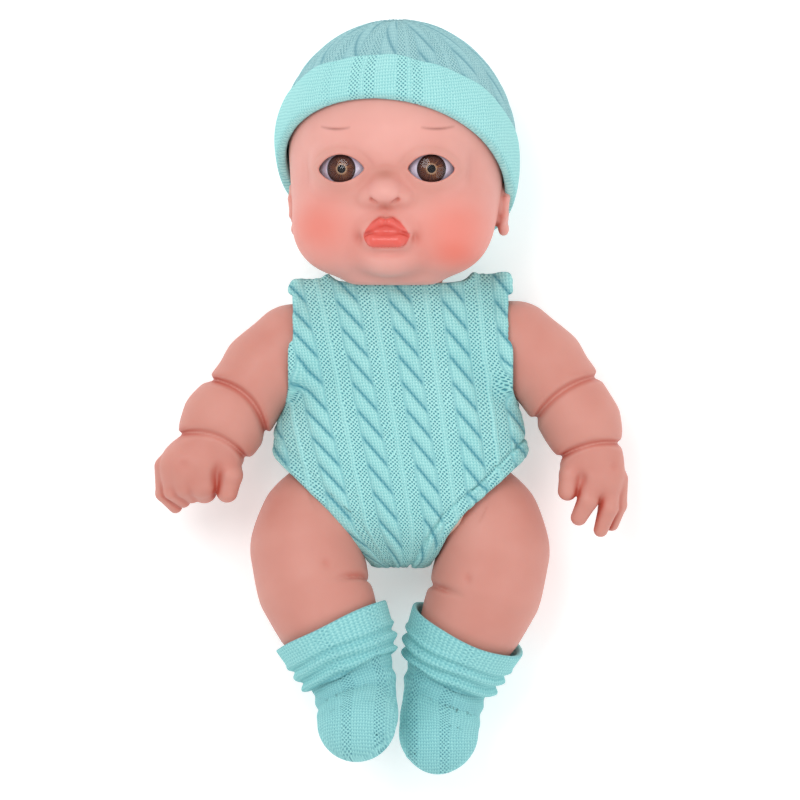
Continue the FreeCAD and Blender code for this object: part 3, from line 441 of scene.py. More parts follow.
def knit_material(name, light, mid, shade, style="cable"):
    """Knitting drawn from the weave coordinates, in millimetres: cables, lace with small holes, and ribs,
    with painted shade in the furrows, holes and folds and painted highlight on the stitches' crests.

    style "cable" has all of these, "lace" has holes between plain panels, and "plain" has stitches only.
    """
    n = Nodes(name)
    place = n.add("SeparateXYZ", {0: n.add("Attribute", attribute_name="weave").outputs["Vector"]})
    drift = n.math("MULTIPLY", n.math("SUBTRACT", n.spots(260, 2), 0.5), 1.3)
    u, v = n.math("ADD", place.outputs[0], drift), n.math("ADD", place.outputs[1], drift)
    across = n.math("WRAP", u, REPEAT / 2, -REPEAT / 2)
    away = n.math("ABSOLUTE", across)
    fuzz = n.spots(3400, 3, 0.7)
    # columns of stitches, with painted shade between them
    column = n.math("PINGPONG", u, STITCH_WIDTH)
    slant = n.math("SINE", n.math("MULTIPLY", n.math("ADD", v, column), 2 * math.pi / STITCH_LENGTH))
    stitch = n.math("MULTIPLY_ADD", slant, 0.22, n.math("MULTIPLY_ADD", column, 0.9, 0.2))
    low = n.math("MULTIPLY", n.math("SUBTRACT", 0.85, stitch, clamp=True), 0.42)
    if style != "plain":
        # lace: a lattice of holes, filled with painted shade, with threads crossing between them
        wave = [n.math("COSINE", n.math("MULTIPLY", t, 2 * math.pi / HOLE_PITCH)) for t in (u, v)]
        hole = n.ramp(n.math("MULTIPLY", *wave), 0.02, 0.62)
        hole = n.math("MULTIPLY", hole, n.math("MULTIPLY_ADD", fuzz, 1.5, 0.15), clamp=True)
        rib = n.ramp(n.math("ABSOLUTE", n.math("SUBTRACT", away, REPEAT / 2)), 0.7, 1.2)
        lace = n.math("MULTIPLY", n.ramp(away, CABLE_HALF - 0.1, CABLE_HALF + 0.7), rib)
        if style == "lace":
            lace = n.math("MULTIPLY", lace, n.mask("lace"))
        low = n.mix(lace, low, hole)
    if style == "cable":
        # the strands of a cable part along slanting furrows, with painted shade in the furrows, along the
        # cable's edges and on the side that dips under
        turn = n.math("WRAP", n.math("MULTIPLY_ADD", across, -CABLE_SLANT, v), CROSSING / 2, -CROSSING / 2)
        inside = n.ramp(away, CABLE_HALF + 0.2, CABLE_HALF - 0.6)
        furrow = n.ramp(n.math("ABSOLUTE", turn), 1.9, 0.2)
        dip = n.math("MULTIPLY", n.ramp(turn, -4.6, -0.2), n.ramp(turn, 0.9, -0.5))
        dark = n.math("MULTIPLY_ADD", dip, 0.30, n.math("MULTIPLY", furrow, 0.46))
        from_edge = n.math("ABSOLUTE", n.math("SUBTRACT", away, CABLE_HALF))
        edge = n.math("MULTIPLY", n.ramp(from_edge, 0.9, 0.1), 0.38)
        low = n.math("ADD", n.math("MAXIMUM", low, edge), n.math("MULTIPLY", dark, inside), clamp=True)
    # the yarn lighter at random and, as painted highlight, on the stitches' crests; then painted shade where
    # low is, and in the folds where the hollow mask is
    tone = n.math("MULTIPLY_ADD", fuzz, 0.9, n.math("MULTIPLY_ADD", stitch, 0.25, -0.1))
    colour = n.mix(n.ramp(tone, 0.28, 0.62), mid, light)
    colour = n.mix(n.math("MULTIPLY", n.ramp(n.spots(45, 3), 0.40, 0.72), 0.30), colour, light)
    colour = n.mix(low, colour, shade)
    colour = n.mix(n.math("MULTIPLY", n.mask("hollow"), 0.75, clamp=True), colour, shade)
    height = n.math("SUBTRACT", n.math("MULTIPLY_ADD", fuzz, 0.5, n.math("MULTIPLY", stitch, 0.3)), low)
    return n.finish(colour, 0.92, height, 0.00022, Sheen_Weight=0.3, Sheen_Roughness=0.5,
                    Sheen_Tint=(*light, 1.0), Specular_IOR_Level=0.12)


def moulded_material(name, colour, rough=0.45, grain=1800.0, depth=0.00003, **sockets):
    """Moulded plastic, rubber or plated metal: faint colour drift, fine surface grain and scuffed gloss."""
    n = Nodes(name)
    drift = n.spots(70, 3)
    base = n.mix(n.ramp(drift, 0.3, 0.7), colour, tuple(c * 0.88 for c in colour))
    scuff = n.math("MULTIPLY_ADD", n.ramp(n.spots(420, 4, 0.65), 0.35, 0.75), 0.16, rough)
    return n.finish(base, scuff, n.spots(grain, 2), depth, **sockets)


# ---------------------------------------------------------------- the head

PIVOT = np.array([0.0, NECK[1], NECK[2]])
EYE = {"right": -18.4, "left": 18.4}
EYE_LOW, EYE_HIGH = box_mm("left_eye_lens")
EYE_LEVEL = (EYE_LOW[1] + EYE_HIGH[1]) / 2
EYE_RADIUS = 14.0
EYE_TURN = math.radians(7)  # how far each eye looks outwards
EYE_DEPTH = 86.9 - EYE_RADIUS * math.cos(EYE_TURN)  # height of the domes' centres


def side_of(name):
    return 1 if name == "left" else -1


def eye_local(p, name):
    """Points seen from the eye: x towards the doll's left, y up the face, z out along its look."""
    side = side_of(name)
    tilt = side * EYE_TURN
    centre = np.array([EYE[name] - side * EYE_RADIUS * math.sin(EYE_TURN), EYE_LEVEL, EYE_DEPTH])
    return turned(p, centre, (0, 1, 0), -tilt) - centre


def lid_gap(q, side):
    """Distance from the almond opening of the lids, across the look."""
    tilt = math.radians(4.5) * side
    x = q[:, 0] * math.cos(tilt) + q[:, 1] * math.sin(tilt)
    y = -q[:, 0] * math.sin(tilt) + q[:, 1] * math.cos(tilt)
    upper = np.hypot(x + side * 0.6, y + 4.9) - 10.6
    lower = np.hypot(x - side * 0.5, y - 5.9) - 11.2
    return overlap(1.0, upper, lower), y


def skull(p):
    """The head's plain form, which the hat also follows."""
    total = join(14, ball(p, (0, 100.5, 46.0), (43.4, 46.5, 43.0)),
                 ball(p, (0, 73.5, 51.5), (38.4, 28.0, 34.5)))
    for side in (-1, 1):
        total = join(11, total, ball(p, (side * 21.5, 66, 65), (16.5, 15.5, 17)))
    total = join(7, total, bone(p, (-12, 52.0, 60), (12, 52.0, 60), 6.6, 6.6))
    return join(8, total, ball(p, (0, 57, 77.0), (10, 8.0, 9.0)))


def lips_mask(p):
    """1 on the painted lips: the upper lip is bowed and the lower one is full."""
    x, y = np.abs(p[:, 0] - MOUTH[0]), p[:, 1]
    top = np.interp(x, (0, 1.2, 2.9, 5.6, 8.2, 9.3), (71.1, 71.4, 71.9, 70.2, 66.8, 64.6))
    bottom = np.interp(x, (0, 5.0, 6.6, 7.8, 8.7, 9.3), (59.5, 59.5, 59.9, 60.8, 62.4, 64.2))
    inside = np.minimum(np.minimum(top - y, y - bottom), 9.3 - x)
    return np.clip(inside / 0.9 + 0.5, 0, 1) * (p[:, 2] > 75)


MOUTH = (0.4, 65.6)


def head_field(p):
    total = skull(p)
    front = np.clip((p[:, 2] - 60) / 12, 0, 1)
    # broad forms of the face
    total = total + front * 2.0 * bump(p, (0, 90.5), (7, 5), (0, 1))
    for side in (-1, 1):
        total = total + front * 2.6 * bump(p, (side * 8.8, 90.6), (4.6, 5.2), (0, 1))
        total = total + front * 1.5 * bump(p, (side * 18.5, 90.0), (14, 9), (0, 1))
        total = total - front * 0.9 * bump(p, (side * 17, 107), (13, 6), (0, 1))
    # lids over the eyes
    for name in EYE:
        side = side_of(name)
        q = eye_local(p, name)
        gap, height = lid_gap(q, side)
        facing = np.clip(q[:, 2] / 5, 0, 1)
        mound = np.exp(-(((q[:, 0] - side * 2.5) / 10.5) ** 2) - (height / 8.8) ** 2)
        total = total - facing * 4.7 * mound
        reach = np.linalg.norm(q, axis=1) - EYE_RADIUS
        total = join(3.5, total, overlap(3.0, reach - 0.9, 6.5 - q[:, 2]))
        upper = np.clip(height / 4, 0, 1)
        total = total + facing * 0.22 * upper * bell(gap, 3.4, 0.9)
        total = total + facing * 0.15 * np.clip(-height / 4, 0, 1) * bell(gap, 4.0, 1.6)
        total = carve(0.7, total, overlap(0.5, gap, 4 - q[:, 2]))
        seat = overlap(0.5, reach - 0.3, np.hypot(q[:, 0], q[:, 1]) - 11.3, 6 - q[:, 2])
        total = carve(0.4, total, seat)
    # nose
    total = join(4.5, total, ball(p, (0, 81.2, 87.8), (6.6, 4.7, 6.2)))
    total = join(4.0, total, bone(p, (0, 87.5, 82.5), (0, 83.5, 87.2), 2.8, 3.4))
    for side in (-1, 1):
        total = join(2.2, total, ball(p, (side * 7.4, 79.6, 85.8), (3.6, 3.4, 4.0)))
        total = carve(1.6, total, bone(p, (side * 3.8, 77.6, 90.6), (side * 5.0, 78.9, 90.2), 0.5, 0.4))
    # mouth
    total = total + front * 0.7 * bump(p, (0, 74.4), (1.5, 2.2), (0, 1))
    mouth = p - (MOUTH[0], 0, 0)
    total = join(3.0, total, ball(mouth, (0, 65.5, 84.6), (11, 7.5, 6.0)))
    for side in (-1, 1):
        lip = bone(mouth, (side * 1.6, 69.6, 89.6), (side * 7.4, 66.0, 87.6), 2.1, 1.0)
        total = join(0.9, total, lip)
    total = join(1.0, total, bone(mouth, (-4.8, 62.5, 88.8), (4.8, 62.5, 88.8), 2.9, 2.9))
    for side in (-1, 1):
        total = join(1.2, total, bone(mouth, (side * 4.8, 62.5, 88.6), (side * 7.9, 63.9, 87.2), 2.7, 1.3))
    line = [(-9.0, 64.6, 87.6), (-5.0, 66.2, 90.8), (0, 66.9, 92.2), (5.0, 66.2, 90.8), (9.0, 64.6, 87.6)]
    for a, b in zip(line, line[1:]):
        total = carve(0.9, total, bone(mouth, a, b, 0.6, 0.6))
    total = carve(1.6, total, ball(mouth, (0, 66.4, 93.0), (5.6, 1.7, 3.4)))
    for side in (-1, 1):
        total = total + front * 0.9 * bump(mouth, (side * 10.8, 64.0), (1.8, 2.4), (0, 1))
    total = total + front * 0.9 * bump(mouth, (0, 57.6), (7.5, 1.7), (0, 1))
    # ears
    for side in (-1, 1):
        q = p * (side, 1, 1) + ((0.6, 0, 0) if side > 0 else (2.0, 0, 0))
        total = join(2.0, total, ball(q, (42.4, 76.0, 42.0), (3.0, 9.0, 6.2)))
        rim = [(42.6, 68.5, 45.0), (44.0, 73.0, 47.0), (44.6, 79.5, 46.5), (44.4, 84.0, 42.5),
               (43.8, 83.0, 37.5), (43.2, 76.5, 35.5), (42.6, 70.0, 37.5)]
        for a, b in zip(rim, rim[1:]):
            total = join(0.9, total, bone(q, a, b, 1.35, 1.35))
        total = join(1.2, total, ball(q, (43.0, 67.4, 42.6), (2.2, 2.8, 2.8)))
        total = carve(1.2, total, ball(q, (46.0, 76.0, 41.5), (2.0, 4.6, 3.0)))
    # the neck, turned to the torso's opening
    total = join(7, total, bone(p, (0, 60, 44), (0, 45.5, 37), 17.5, 16.5))
    return overlap(1.2, total, 44.9 - p[:, 1])


def build_head():
    xs = grid_lines(-50, 50, 1.2, 0.56, (-31, 31))
    ys = grid_lines(43, 150, 1.2, 0.56, (55, 109.5))
    zs = grid_lines(0.5, 98, 1.2, 0.56, (66, 97.5))
    points, faces = surface(head_field, xs, ys, zs)
    normals = normals_of(head_field, points)
    x, y, z = points.T
    front = (z > 55).astype(float)
    # painted shade in the face's furrows and hollows
    hollow = hollow_of(head_field, points, normals, 2.2)
    hollow = hollow + 0.3 * hollow_of(head_field, points, normals, 6.0)
    blush_and_crease_shade = sum(bump(points, (side * 27.5, 67.5), (14, 11.5), (0, 1)) for side in (-1, 1))
    blush_and_crease_shade = front * (0.82 * blush_and_crease_shade + 0.75 * bump(points, (27, 56), (10, 6.5), (0, 1)))
    lips = lips_mask(points)
    brow = np.zeros(len(points))
    for side in (-1, 1):
        across = (x * side - 20.5) / 6.6
        level = 106.9 + 0.9 * across**2 + 0.25 * across
        brow += front * np.clip(1 - np.abs(across), 0, 1) ** 0.5 * bell(y, level, 0.5)
    # painted shade at the nose's bridge, under the nose, round the lids' openings and under the eyes
    shade = bump(points, (0, 89.5), (4.5, 3.0), (0, 1)) + 0.55 * bump(points, (0, 76.2), (5.5, 1.6), (0, 1))
    for name in EYE:
        side = side_of(name)
        q = eye_local(points, name)
        gap = lid_gap(q, side)[0]
        shade += 0.5 * np.clip(gap + 1, 0, 1) * bell(gap, 1.5, 3.2) * (q[:, 2] > 0)
        shade += 0.35 * bump(points, (side * 12.5, 79), (7, 3.5), (0, 1))
    masks = {"hollow": np.clip(hollow, 0, 1), "blush_and_crease_shade": blush_and_crease_shade, "lips": lips, "brow": brow,
             "shade": front * shade, "gloss": lips}
    points = turned(points, PIVOT, (0, 1, 0), HEAD_YAW)
    # the deep colour is painted shade for the hollows, and the shade tint is painted shade too
    material = skin_material("vinyl_face", linear(230, 167, 157), (0.76, 0.46, 0.40), (
        ("blush_and_crease_shade", linear(232, 116, 98), 0.72), ("shade", linear(186, 124, 106), 0.62),
        ("brow", linear(140, 78, 68), 0.72), ("lips", linear(226, 92, 82), 0.92)))
    piece = add_mesh("head", points, faces, masks, material)
    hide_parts("head_shell")
    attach(piece, "head")


# ---------------------------------------------------------------- arms and hands

SHOULDER = {"right": np.array([-33.5, 21.0, 31.0]), "left": np.array([33.5, 21.0, 31.0])}
HIP = {"right": np.array([-28.0, -41.0, 30.0]), "left": np.array([28.0, -41.0, 30.0])}
ARM = {  # point, radius across, radius in depth
    "right": [((-30, 21.8, 31), 16.0, 16.0), ((-43, 19.6, 31), 16.3, 16.0),
              ((-55, 10.8, 32), 15.3, 15.3), ((-64.4, -2.6, 33.5), 14.3, 14.2),
              ((-71, -10.5, 34.5), 15.7, 14.8), ((-75.6, -19, 35.5), 13.3, 12.4)],
    "left": [((30, 21.8, 31), 16.0, 16.0), ((46, 21.0, 31), 16.2, 16.0),
             ((57.3, 12.5, 32), 15.6, 15.3), ((66.4, -0.2, 33.5), 14.3, 14.2),
             ((73, -11.2, 34.5), 14.4, 13.8), ((76.8, -20.4, 35.5), 11.0, 10.4)],
}
CREASES = {  # point, direction towards the shoulder, direction across, bow, depth, width
    "right": [((-61.5, 0.6, 34), (0.69, 0.72, 0), (0.72, -0.69, 0), -0.0235, 1.9, 1.7),
              ((-75.6, -14.6, 35), (0.257, 0.966, 0), (0.966, -0.257, 0), -0.0235, 1.5, 1.5)],
    "left": [((64.4, 2.4, 34), (-0.573, 0.82, 0), (0.82, 0.573, 0), -0.0150, 1.9, 1.7),
             ((77.0, -18.4, 35), (-0.182, 0.983, 0), (0.983, 0.182, 0), -0.0165, 1.5, 1.4)],
}
HAND = {  # palms as (centre, radii), fingers as chains of (point, radius)
    "right": {
        "palm": [((-80.8, -26.5, 36.5), (14.6, 12.0, 12.2)), ((-86, -29, 37), (9.5, 9.0, 9.5))],
        "fingers": [
            [((-78.5, -27, 43), 5.6), ((-79.2, -34.5, 42.0), 5.6), ((-78.6, -37.2, 37.0), 5.2)],
            [((-87.4, -27, 43.5), 3.8), ((-86.6, -36, 41.0), 3.7), ((-83.6, -39.0, 36.0), 3.4)],
            [((-92.2, -27, 41), 3.5), ((-91.4, -37.5, 38.0), 3.4), ((-87.0, -41.2, 33.5), 3.0)],
            [((-95.2, -27.5, 37), 3.3), ((-95.0, -38.5, 33.5), 3.1), ((-90.2, -43.6, 30.5), 2.8)],
            [((-70.6, -24, 40), 5.2), ((-68.4, -31, 42.5), 5.3), ((-69.4, -37.8, 41.5), 4.3)],
        ],
        "dents": [((-73.6, -31.4, 46.5), (2.2, 4.2, 4.0), 1.6), ((-87.0, -27.0, 48), (2.4, 2.4, 4), 0.8)],
    },
    "left": {
        "palm": [((76.9, -26.8, 36.5), (12.6, 10.0, 9.2)), ((79.5, -33, 37), (9.0, 7.0, 7.5))],
        "fingers": [
            [((70.6, -24, 38.5), 4.9), ((67.9, -31, 40.5), 4.4), ((66.8, -37.4, 40.5), 3.9)],
            [((77.0, -32, 40), 4.7), ((75.0, -41, 40.5), 4.2), ((71.4, -48.0, 38.5), 3.3)],
            [((83.6, -33, 37.5), 4.6), ((83.2, -44, 37), 4.0), ((80.2, -53.0, 34.5), 2.9)],
            [((87.0, -33, 33.5), 4.2), ((87.0, -43, 32), 3.7), ((84.6, -50.6, 29.5), 2.9)],
        ],
        "dents": [((72.5, -32.6, 44.5), (2.0, 2.6, 3.5), 1.8), ((84.8, -27.5, 45), (1.6, 1.6, 3), 0.6)],
    },
}


def arm_field(name):
    """The field of one arm and its hand."""
    hand = HAND[name]
    axis = np.array(JOINTS[name + "_shoulder"]["axis"])
    axis = axis * np.sign(axis[0]) * side_of(name)
    lobe_join = 1.0 if name == "right" else 1.3

    def field(p):
        total = chain(p, ARM[name], 6.0)
        palm = join(5, *(ball(p, centre, radii) for centre, radii in hand["palm"]))
        fingers = []
        for finger in hand["fingers"]:
            bones = (bone(p, a, b, ra, rb) for (a, ra), (b, rb) in zip(finger, finger[1:]))
            fingers.append(join(0.8, *bones))
        total = join(4.0, total, join(2.6, palm, join(lobe_join, *fingers)))
        for point, normal, across, bow, depth, width in CREASES[name]:
            furrow = crease(p, point, normal, width, bow, across)
            swell = crease(p, np.array(point) + np.array(normal) * 4.5, normal, 4.0, bow, across)
            total = total + depth * furrow - 0.35 * swell
        for centre, radii, depth in hand["dents"]:
            total = total + depth * bump(p, centre, radii)
        outward = (p - SHOULDER[name]) @ axis
        return overlap(0.8, total, 0.3 - outward)

    return field


# on the limbs this red tint is painted shade in their creases
VINYL_MASKS = (("blush_and_crease_shade", linear(214, 104, 88), 0.62),)


def build_limb(label, field, low, high, step, node, body, place=None):
    """One vinyl limb from its field."""
    points, faces, normals = even_mesh(field, low, high, step)
    # painted shade: darker in the furrows and redder in the creases
    hollow = 1.1 * hollow_of(field, points, normals, 2.0) + 0.55 * hollow_of(field, points, normals, 5.5)
    blush_and_crease_shade = 0.8 * hollow_of(field, points, normals, 3.5)
    masks = {"hollow": np.clip(hollow, 0, 1), "blush_and_crease_shade": np.clip(blush_and_crease_shade, 0, 1), "gloss": np.zeros(len(points))}
    if place:
        points = place(points)
    piece = add_mesh(label, points, faces, masks, material_of("vinyl_limb"))
    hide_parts(node)
    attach(piece, body)


def build_arms():
    boxes = {"right": ((-101, -50, 8), (-28, 42, 56)), "left": ((28, -60, 8), (95, 44, 54))}
    for name, (low, high) in boxes.items():
        build_limb(name + "_arm_vinyl", arm_field(name), low, high, 0.65, name + "_arm", "arm_" + name)


# ---------------------------------------------------------------- legs and socks

LEG = [((28, -41, 30), 18.4, 18.4), ((34, -50.5, 30), 20.4, 20.2), ((36.8, -62, 31.5), 21.2, 21.0),
       ((34.2, -77, 32.5), 20.6, 20.4), ((28.4, -90, 31), 18.7, 18.4), ((22.6, -102, 28), 15.9, 15.8),
       ((18.9, -112, 24.8), 13.4, 13.6)]
FOOT = [((17.0, -119, 22.8), 13.4, 13.2), ((15.8, -129, 28), 13.2, 12.4), ((15.2, -135.0, 37), 12.8, 9.8),
        ((15.0, -138.4, 43.5), 10.4, 6.6)]
KNEE, ANKLE = np.array([34.0, -78.0, 33.0]), np.array([18.5, -112.0, 24.5])
SHIN = (ANKLE - KNEE) / np.linalg.norm(ANKLE - KNEE)
HIP_AXIS = np.array([math.cos(math.radians(25)), -math.sin(math.radians(25)), 0.0])


def leg_form(p):
    """The left leg, hanging straight, with its foot."""
    total = join(7, chain(p, LEG, 7.0), chain(p, FOOT, 5.0))
    inner = np.clip((26 - p[:, 0]) / 8, 0, 1)
    total = total + 1.5 * inner * crease(p, (14, -75.5, 31), (0.35, 1, 0), 1.5)
    total = total + 0.7 * bump(p, (27, -72.5, 50), (1.7, 2.2, 6))
    q = p - HIP["left"]
    outward = q @ HIP_AXIS
    reach = np.linalg.norm(q - outward[:, None] * HIP_AXIS, axis=1)
    away = 5 * np.maximum(outward - 7, 0) + 0.07 * np.maximum(-43 - p[:, 1], 0) ** 2
    total = overlap(5.0, total, reach - 23.2 - away)
    return overlap(2.5, total, 0.3 - outward - 3.5 * smooth_step(-p[:, 1], 43, 56))


def leg_place(name):
    """Mirrors the left leg's points for the right leg, and swings them about the hip."""
    side = side_of(name)

    def place(points):
        points = points * (side, 1, 1)
        axis = np.array(JOINTS[name + "_hip"]["axis"])
        return turned(points, HIP[name], axis, math.radians(HIP_SWING[name]))

    return place


SOCK_STEP = 0.62  # of the grid that the socks are meshed on


def along_shin(p):
    return (p - KNEE) @ SHIN


def sock_weave(p):
    """Distances round and along the sock, in millimetres, for its knitting."""
    down = along_shin(p)
    around = np.arctan2(p[:, 0] - 18.9 - np.clip(36 - down, -8, 40) * 0.42, p[:, 2] - 26) * 15
    on_foot = smooth_step(down, 38, 52)
    around = around + (p[:, 0] - 16 - around) * on_foot
    return weave_of(around + REPEAT / 4, down + (-p[:, 1] - 73 - down) * on_foot)


def build_sock(name):
    place = leg_place(name)

    def foot(p):
        down = along_shin(p)
        folds = 0.45 * np.sin(p[:, 1] * 0.8 + p[:, 0] * 0.30) * bell(down, 43, 6)
        outer = leg_form(p) - 1.7 + folds
        # the toe's seam, pinched at its inner end
        pinch = p - (4.0, -142.5, 44)
        reach = np.linalg.norm(pinch, axis=1)
        ray = np.arctan2(pinch[:, 1], pinch[:, 0])
        outer = outer + 0.4 * bell(reach, 0, 6) * np.cos(ray * 4) - 0.5 * bell(reach, 0, 2.2)
        shell = overlap(0.5, outer, -(leg_form(p) - 0.45))
        return overlap(0.6, shell, 20 - down)

    def cuff(p):
        down = along_shin(p)
        q = p - KNEE - down[:, None] * SHIN
        turn = np.arctan2(q[:, 0], q[:, 2])
        wave = 0.9 * np.sin(turn * 2 + 0.6) + 0.5 * np.sin(turn * 5 + 1.0)
        fold = 1.0 * np.cos((down - 27.5 + wave * 0.8) * 2 * math.pi / 5.4)
        outer = leg_form(p) - 4.1 + fold * np.clip((down - 23.5) / 3, 0, 1)
        shell = overlap(0.9, outer, -(leg_form(p) - 1.85))
        return overlap(1.3, shell, 16.5 + wave * 0.35 - down, down - 37.0 - wave)

    jobs = (("sock_foot", foot, (-3, -153, 6), (44, -88, 58)),
            ("sock_cuff", cuff, (-1, -125, 3), (56, -80, 60)))
    for part, field, low, high in jobs:
        points, faces, normals = even_mesh(field, low, high, SOCK_STEP)
        weave = sock_weave(points)
        lace = (0.9 if part == "sock_foot" else 0.45) * np.exp(-((weave[:, 0] / 11) ** 4))
        # painted shade in the sock's furrows and folds
        hollow = np.clip(0.9 * hollow_of(field, points, normals, 2.0), 0, 1)
        piece = add_mesh(f"{name}_{part}_knit", place(points), faces,
                         {"weave": weave, "hollow": hollow, "lace": lace},
                         material_of("knit_sock" if part == "sock_foot" else "knit_cuff"))
        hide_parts(f"{name}_{part}")
        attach(piece, "leg_" + name)


def build_legs():
    for name in ("right", "left"):
        build_limb(name + "_leg_vinyl", leg_form, (5, -150, 3), (61, -20, 56), 0.85, name + "_leg",
                   "leg_" + name, leg_place(name))
        build_sock(name)


# ---------------------------------------------------------------- knitting


def knit(points, normals, weave, depth):
    """Raises the cables and ribs along the normals, and leaves furrows where the cables' strands cross."""
    across = (weave[:, 0] + REPEAT / 2) % REPEAT - REPEAT / 2
    turn = (weave[:, 1] - CABLE_SLANT * across + CROSSING / 2) % CROSSING - CROSSING / 2
    cable = np.sqrt(np.clip(1 - (across / CABLE_HALF) ** 2, 0, 1))
    furrow = bell(turn, 0, 1.7) + 0.5 * np.clip(-turn / 5, 0, 1) * np.clip(5 + turn, 0, 1)
    rib = 0.45 * np.clip(1 - ((np.abs(across) - REPEAT / 2) / 1.1) ** 2, 0, 1)
    height = depth * (cable * (1 - 0.75 * np.clip(furrow, 0, 1)) + rib)
    return points + normals * height[:, None]


# ---------------------------------------------------------------- romper

TORSO_AT, TORSO = spline([  # height, half-width, half-depth, middle
    (52, 24, 17, 35), (46, 30, 20, 34), (40, 35, 23, 33), (30, 38, 26, 31.8), (20, 39.4, 27.6, 31.2),
    (8, 40.6, 28.4, 31.2), (0, 44.6, 29.0, 31.4), (-8, 48.4, 29.6, 31.5), (-17, 50.4, 30.2, 31.5),
    (-26, 50.4, 30.3, 31.5), (-36, 48.6, 29.8, 31.4), (-46, 44.0, 28.2, 31.0), (-56, 34.0, 23.4, 30.4),
    (-63, 22.0, 17.0, 30.0), (-70, 9.0, 8.0, 30.0)])
LEG_CUT = np.array([0.727, -0.686, 0.0])  # square to the leg openings, on the left
LEG_CUT_AT = 52.6
SLEEVE_END = 44.4
SHOULDER_TOP = {"right": 39.6, "left": 42.4}


def arm_reach(p, name):
    """Distance from the axis that an arm turns about."""
    axis = np.array(JOINTS[name + "_shoulder"]["axis"])
    q = p - SHOULDER[name]
    return np.linalg.norm(q - (q @ axis)[:, None] * axis, axis=1)


def romper_form(p):
    """The closed outside of the romper, before its openings are cut."""
    half, deep, middle = (np.interp(p[:, 1], TORSO_AT, TORSO[:, i]) for i in range(3))
    q = np.stack([p[:, 0] / half, (p[:, 2] - middle) / deep], 1)
    near = np.linalg.norm(q, axis=1)
    slope = np.linalg.norm(q / np.stack([half, deep], 1), axis=1)
    total = near * (near - 1) / np.maximum(slope, 1e-6)
    total = overlap(4.0, total, p[:, 1] - 49.5, -67.5 - p[:, 1])
    for name in SHOULDER:
        side = side_of(name)
        ridge = bone(p, (side * 20, 41.0, 33), (side * 40, SHOULDER_TOP[name], 33), 7.5, 7.5)
        sleeve = join(6.0, arm_reach(p, name) - 20.6, ridge)
        total = join(6.0, total, overlap(1.6, sleeve, side * p[:, 0] - SLEEVE_END, 16 - side * p[:, 0]))
    return overlap(2.5, total, 0.3 - p[:, 2])  # the back rests flat on the floor


def opening_edges(p):
    """How far outside each of the romper's openings a point is, negative inside them."""
    edges = [overlap(2.0, np.hypot(p[:, 0] / 1.25, p[:, 2] - 34) - 23.0, 45.4 - p[:, 1])]
    for name in SHOULDER:
        side = side_of(name)
        hole = 19.4 + 4.5 * np.clip((p[:, 1] - 18) / 14, 0, 1)
        edges.append(overlap(0.8, arm_reach(p, name) - hole, SLEEVE_END - 1.8 - side * p[:, 0]))
        bow = (2.4 if side > 0 else 0.8) * bump(p, (-46,), (11,), (1,))
        low = 1.6 * np.clip((-56 - p[:, 1]) / 9, 0, 1) - bow
        edges.append(LEG_CUT_AT + low - (p * (side, 1, 1)) @ LEG_CUT)
    return edges


def romper_field(p):
    outside = romper_form(p)
    edges = opening_edges(p)
    for edge, depth in ((edges[2], 0.3), (edges[4], 0.75)):  # the leg openings' turned hems
        furrow = bell(edge, 5.2, 0.8)
        swell = bell(edge, 2.6, 2.2)
        outside = outside + depth * furrow - 0.4 * depth * swell
    wall = 1.25 + 1.3 * smooth_step(-p[:, 1], 46, 58)
    shell = overlap(0.4, outside, -(outside + wall))
    for edge in edges:
        shell = overlap(0.4, shell, -edge)
        hem = np.hypot(outside + 0.45, edge - 0.9) - 1.15
        shell = join(0.7, shell, hem)
    return overlap(0.3, shell, 0.05 - p[:, 2])


def romper_weave(p):
    """Distances round the body from the middle of the front and down it, following the knitting's slant."""
    half, deep, middle = (np.interp(p[:, 1], TORSO_AT, TORSO[:, i]) for i in range(3))
    half, deep = np.maximum(half, 42), np.maximum(deep, 26)
    turn = np.arctan2(p[:, 0] / half, (p[:, 2] - middle) / deep)
    squeeze = 1 - (deep / half) ** 2
    around = half * (turn - squeeze * (turn / 2 - np.sin(2 * turn) / 4) * 1.08)
    flat = np.where(p[:, 2] > middle, p[:, 0], np.sign(p[:, 0]) * 106 - p[:, 0])
    around = around + (flat - around) * smooth_step(p[:, 1], 0, 16)
    slide = 8.2 + (-16.6 - p[:, 1]) * 0.151
    spacing = 19.2 + (p[:, 1] + 16.6) * 0.034
    return weave_of((around - slide) * REPEAT / spacing, -p[:, 1])


def build_romper():
    step = 0.71
    xs, ys, zs = (np.arange(a, b, step) for a, b in ((-55, 55), (-70, 52), (-1.5, 64)))
    points, faces = surface(romper_field, xs, ys, zs)
    normals = normals_of(romper_field, points)
    weave = romper_weave(points)
    depth = romper_form(points)
    edges = opening_edges(points)
    hem = sum(bell(edge, 0.9, 1.6) for edge in edges)
    outer = np.clip((depth + 0.5) / 0.3, 0, 1) * np.clip(1 - hem, 0, 1)
    outer = outer * np.clip(points[:, 2] / 3 - 0.3, 0, 1)
    # painted shade in the knit's folds
    fold_shade = 0.5 * hollow_of(romper_field, points, normals, 2.5)
    raised = knit(points, normals, weave, 0.9)
    points = points + (raised - points) * outer[:, None]
    piece = add_mesh("romper_knit", points, faces, {"weave": weave, "hollow": np.clip(fold_shade, 0, 1)},
                     material_of("knit_romper"))
    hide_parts("romper")
    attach(piece, "torso")


# ---------------------------------------------------------------- hat

HAT_SLOPE = 0.80  # how far the edge drops towards the nape for each millimetre back
HAT_STEP = 0.8  # of the grid that the hat is meshed on


def above_brim(p):
    """Height over the tilted edge of the hat."""
    edge = 119 - HAT_SLOPE * (88 - p[:, 2]) - 0.10 * p[:, 0]
    return (p[:, 1] - edge) / math.hypot(1, HAT_SLOPE)


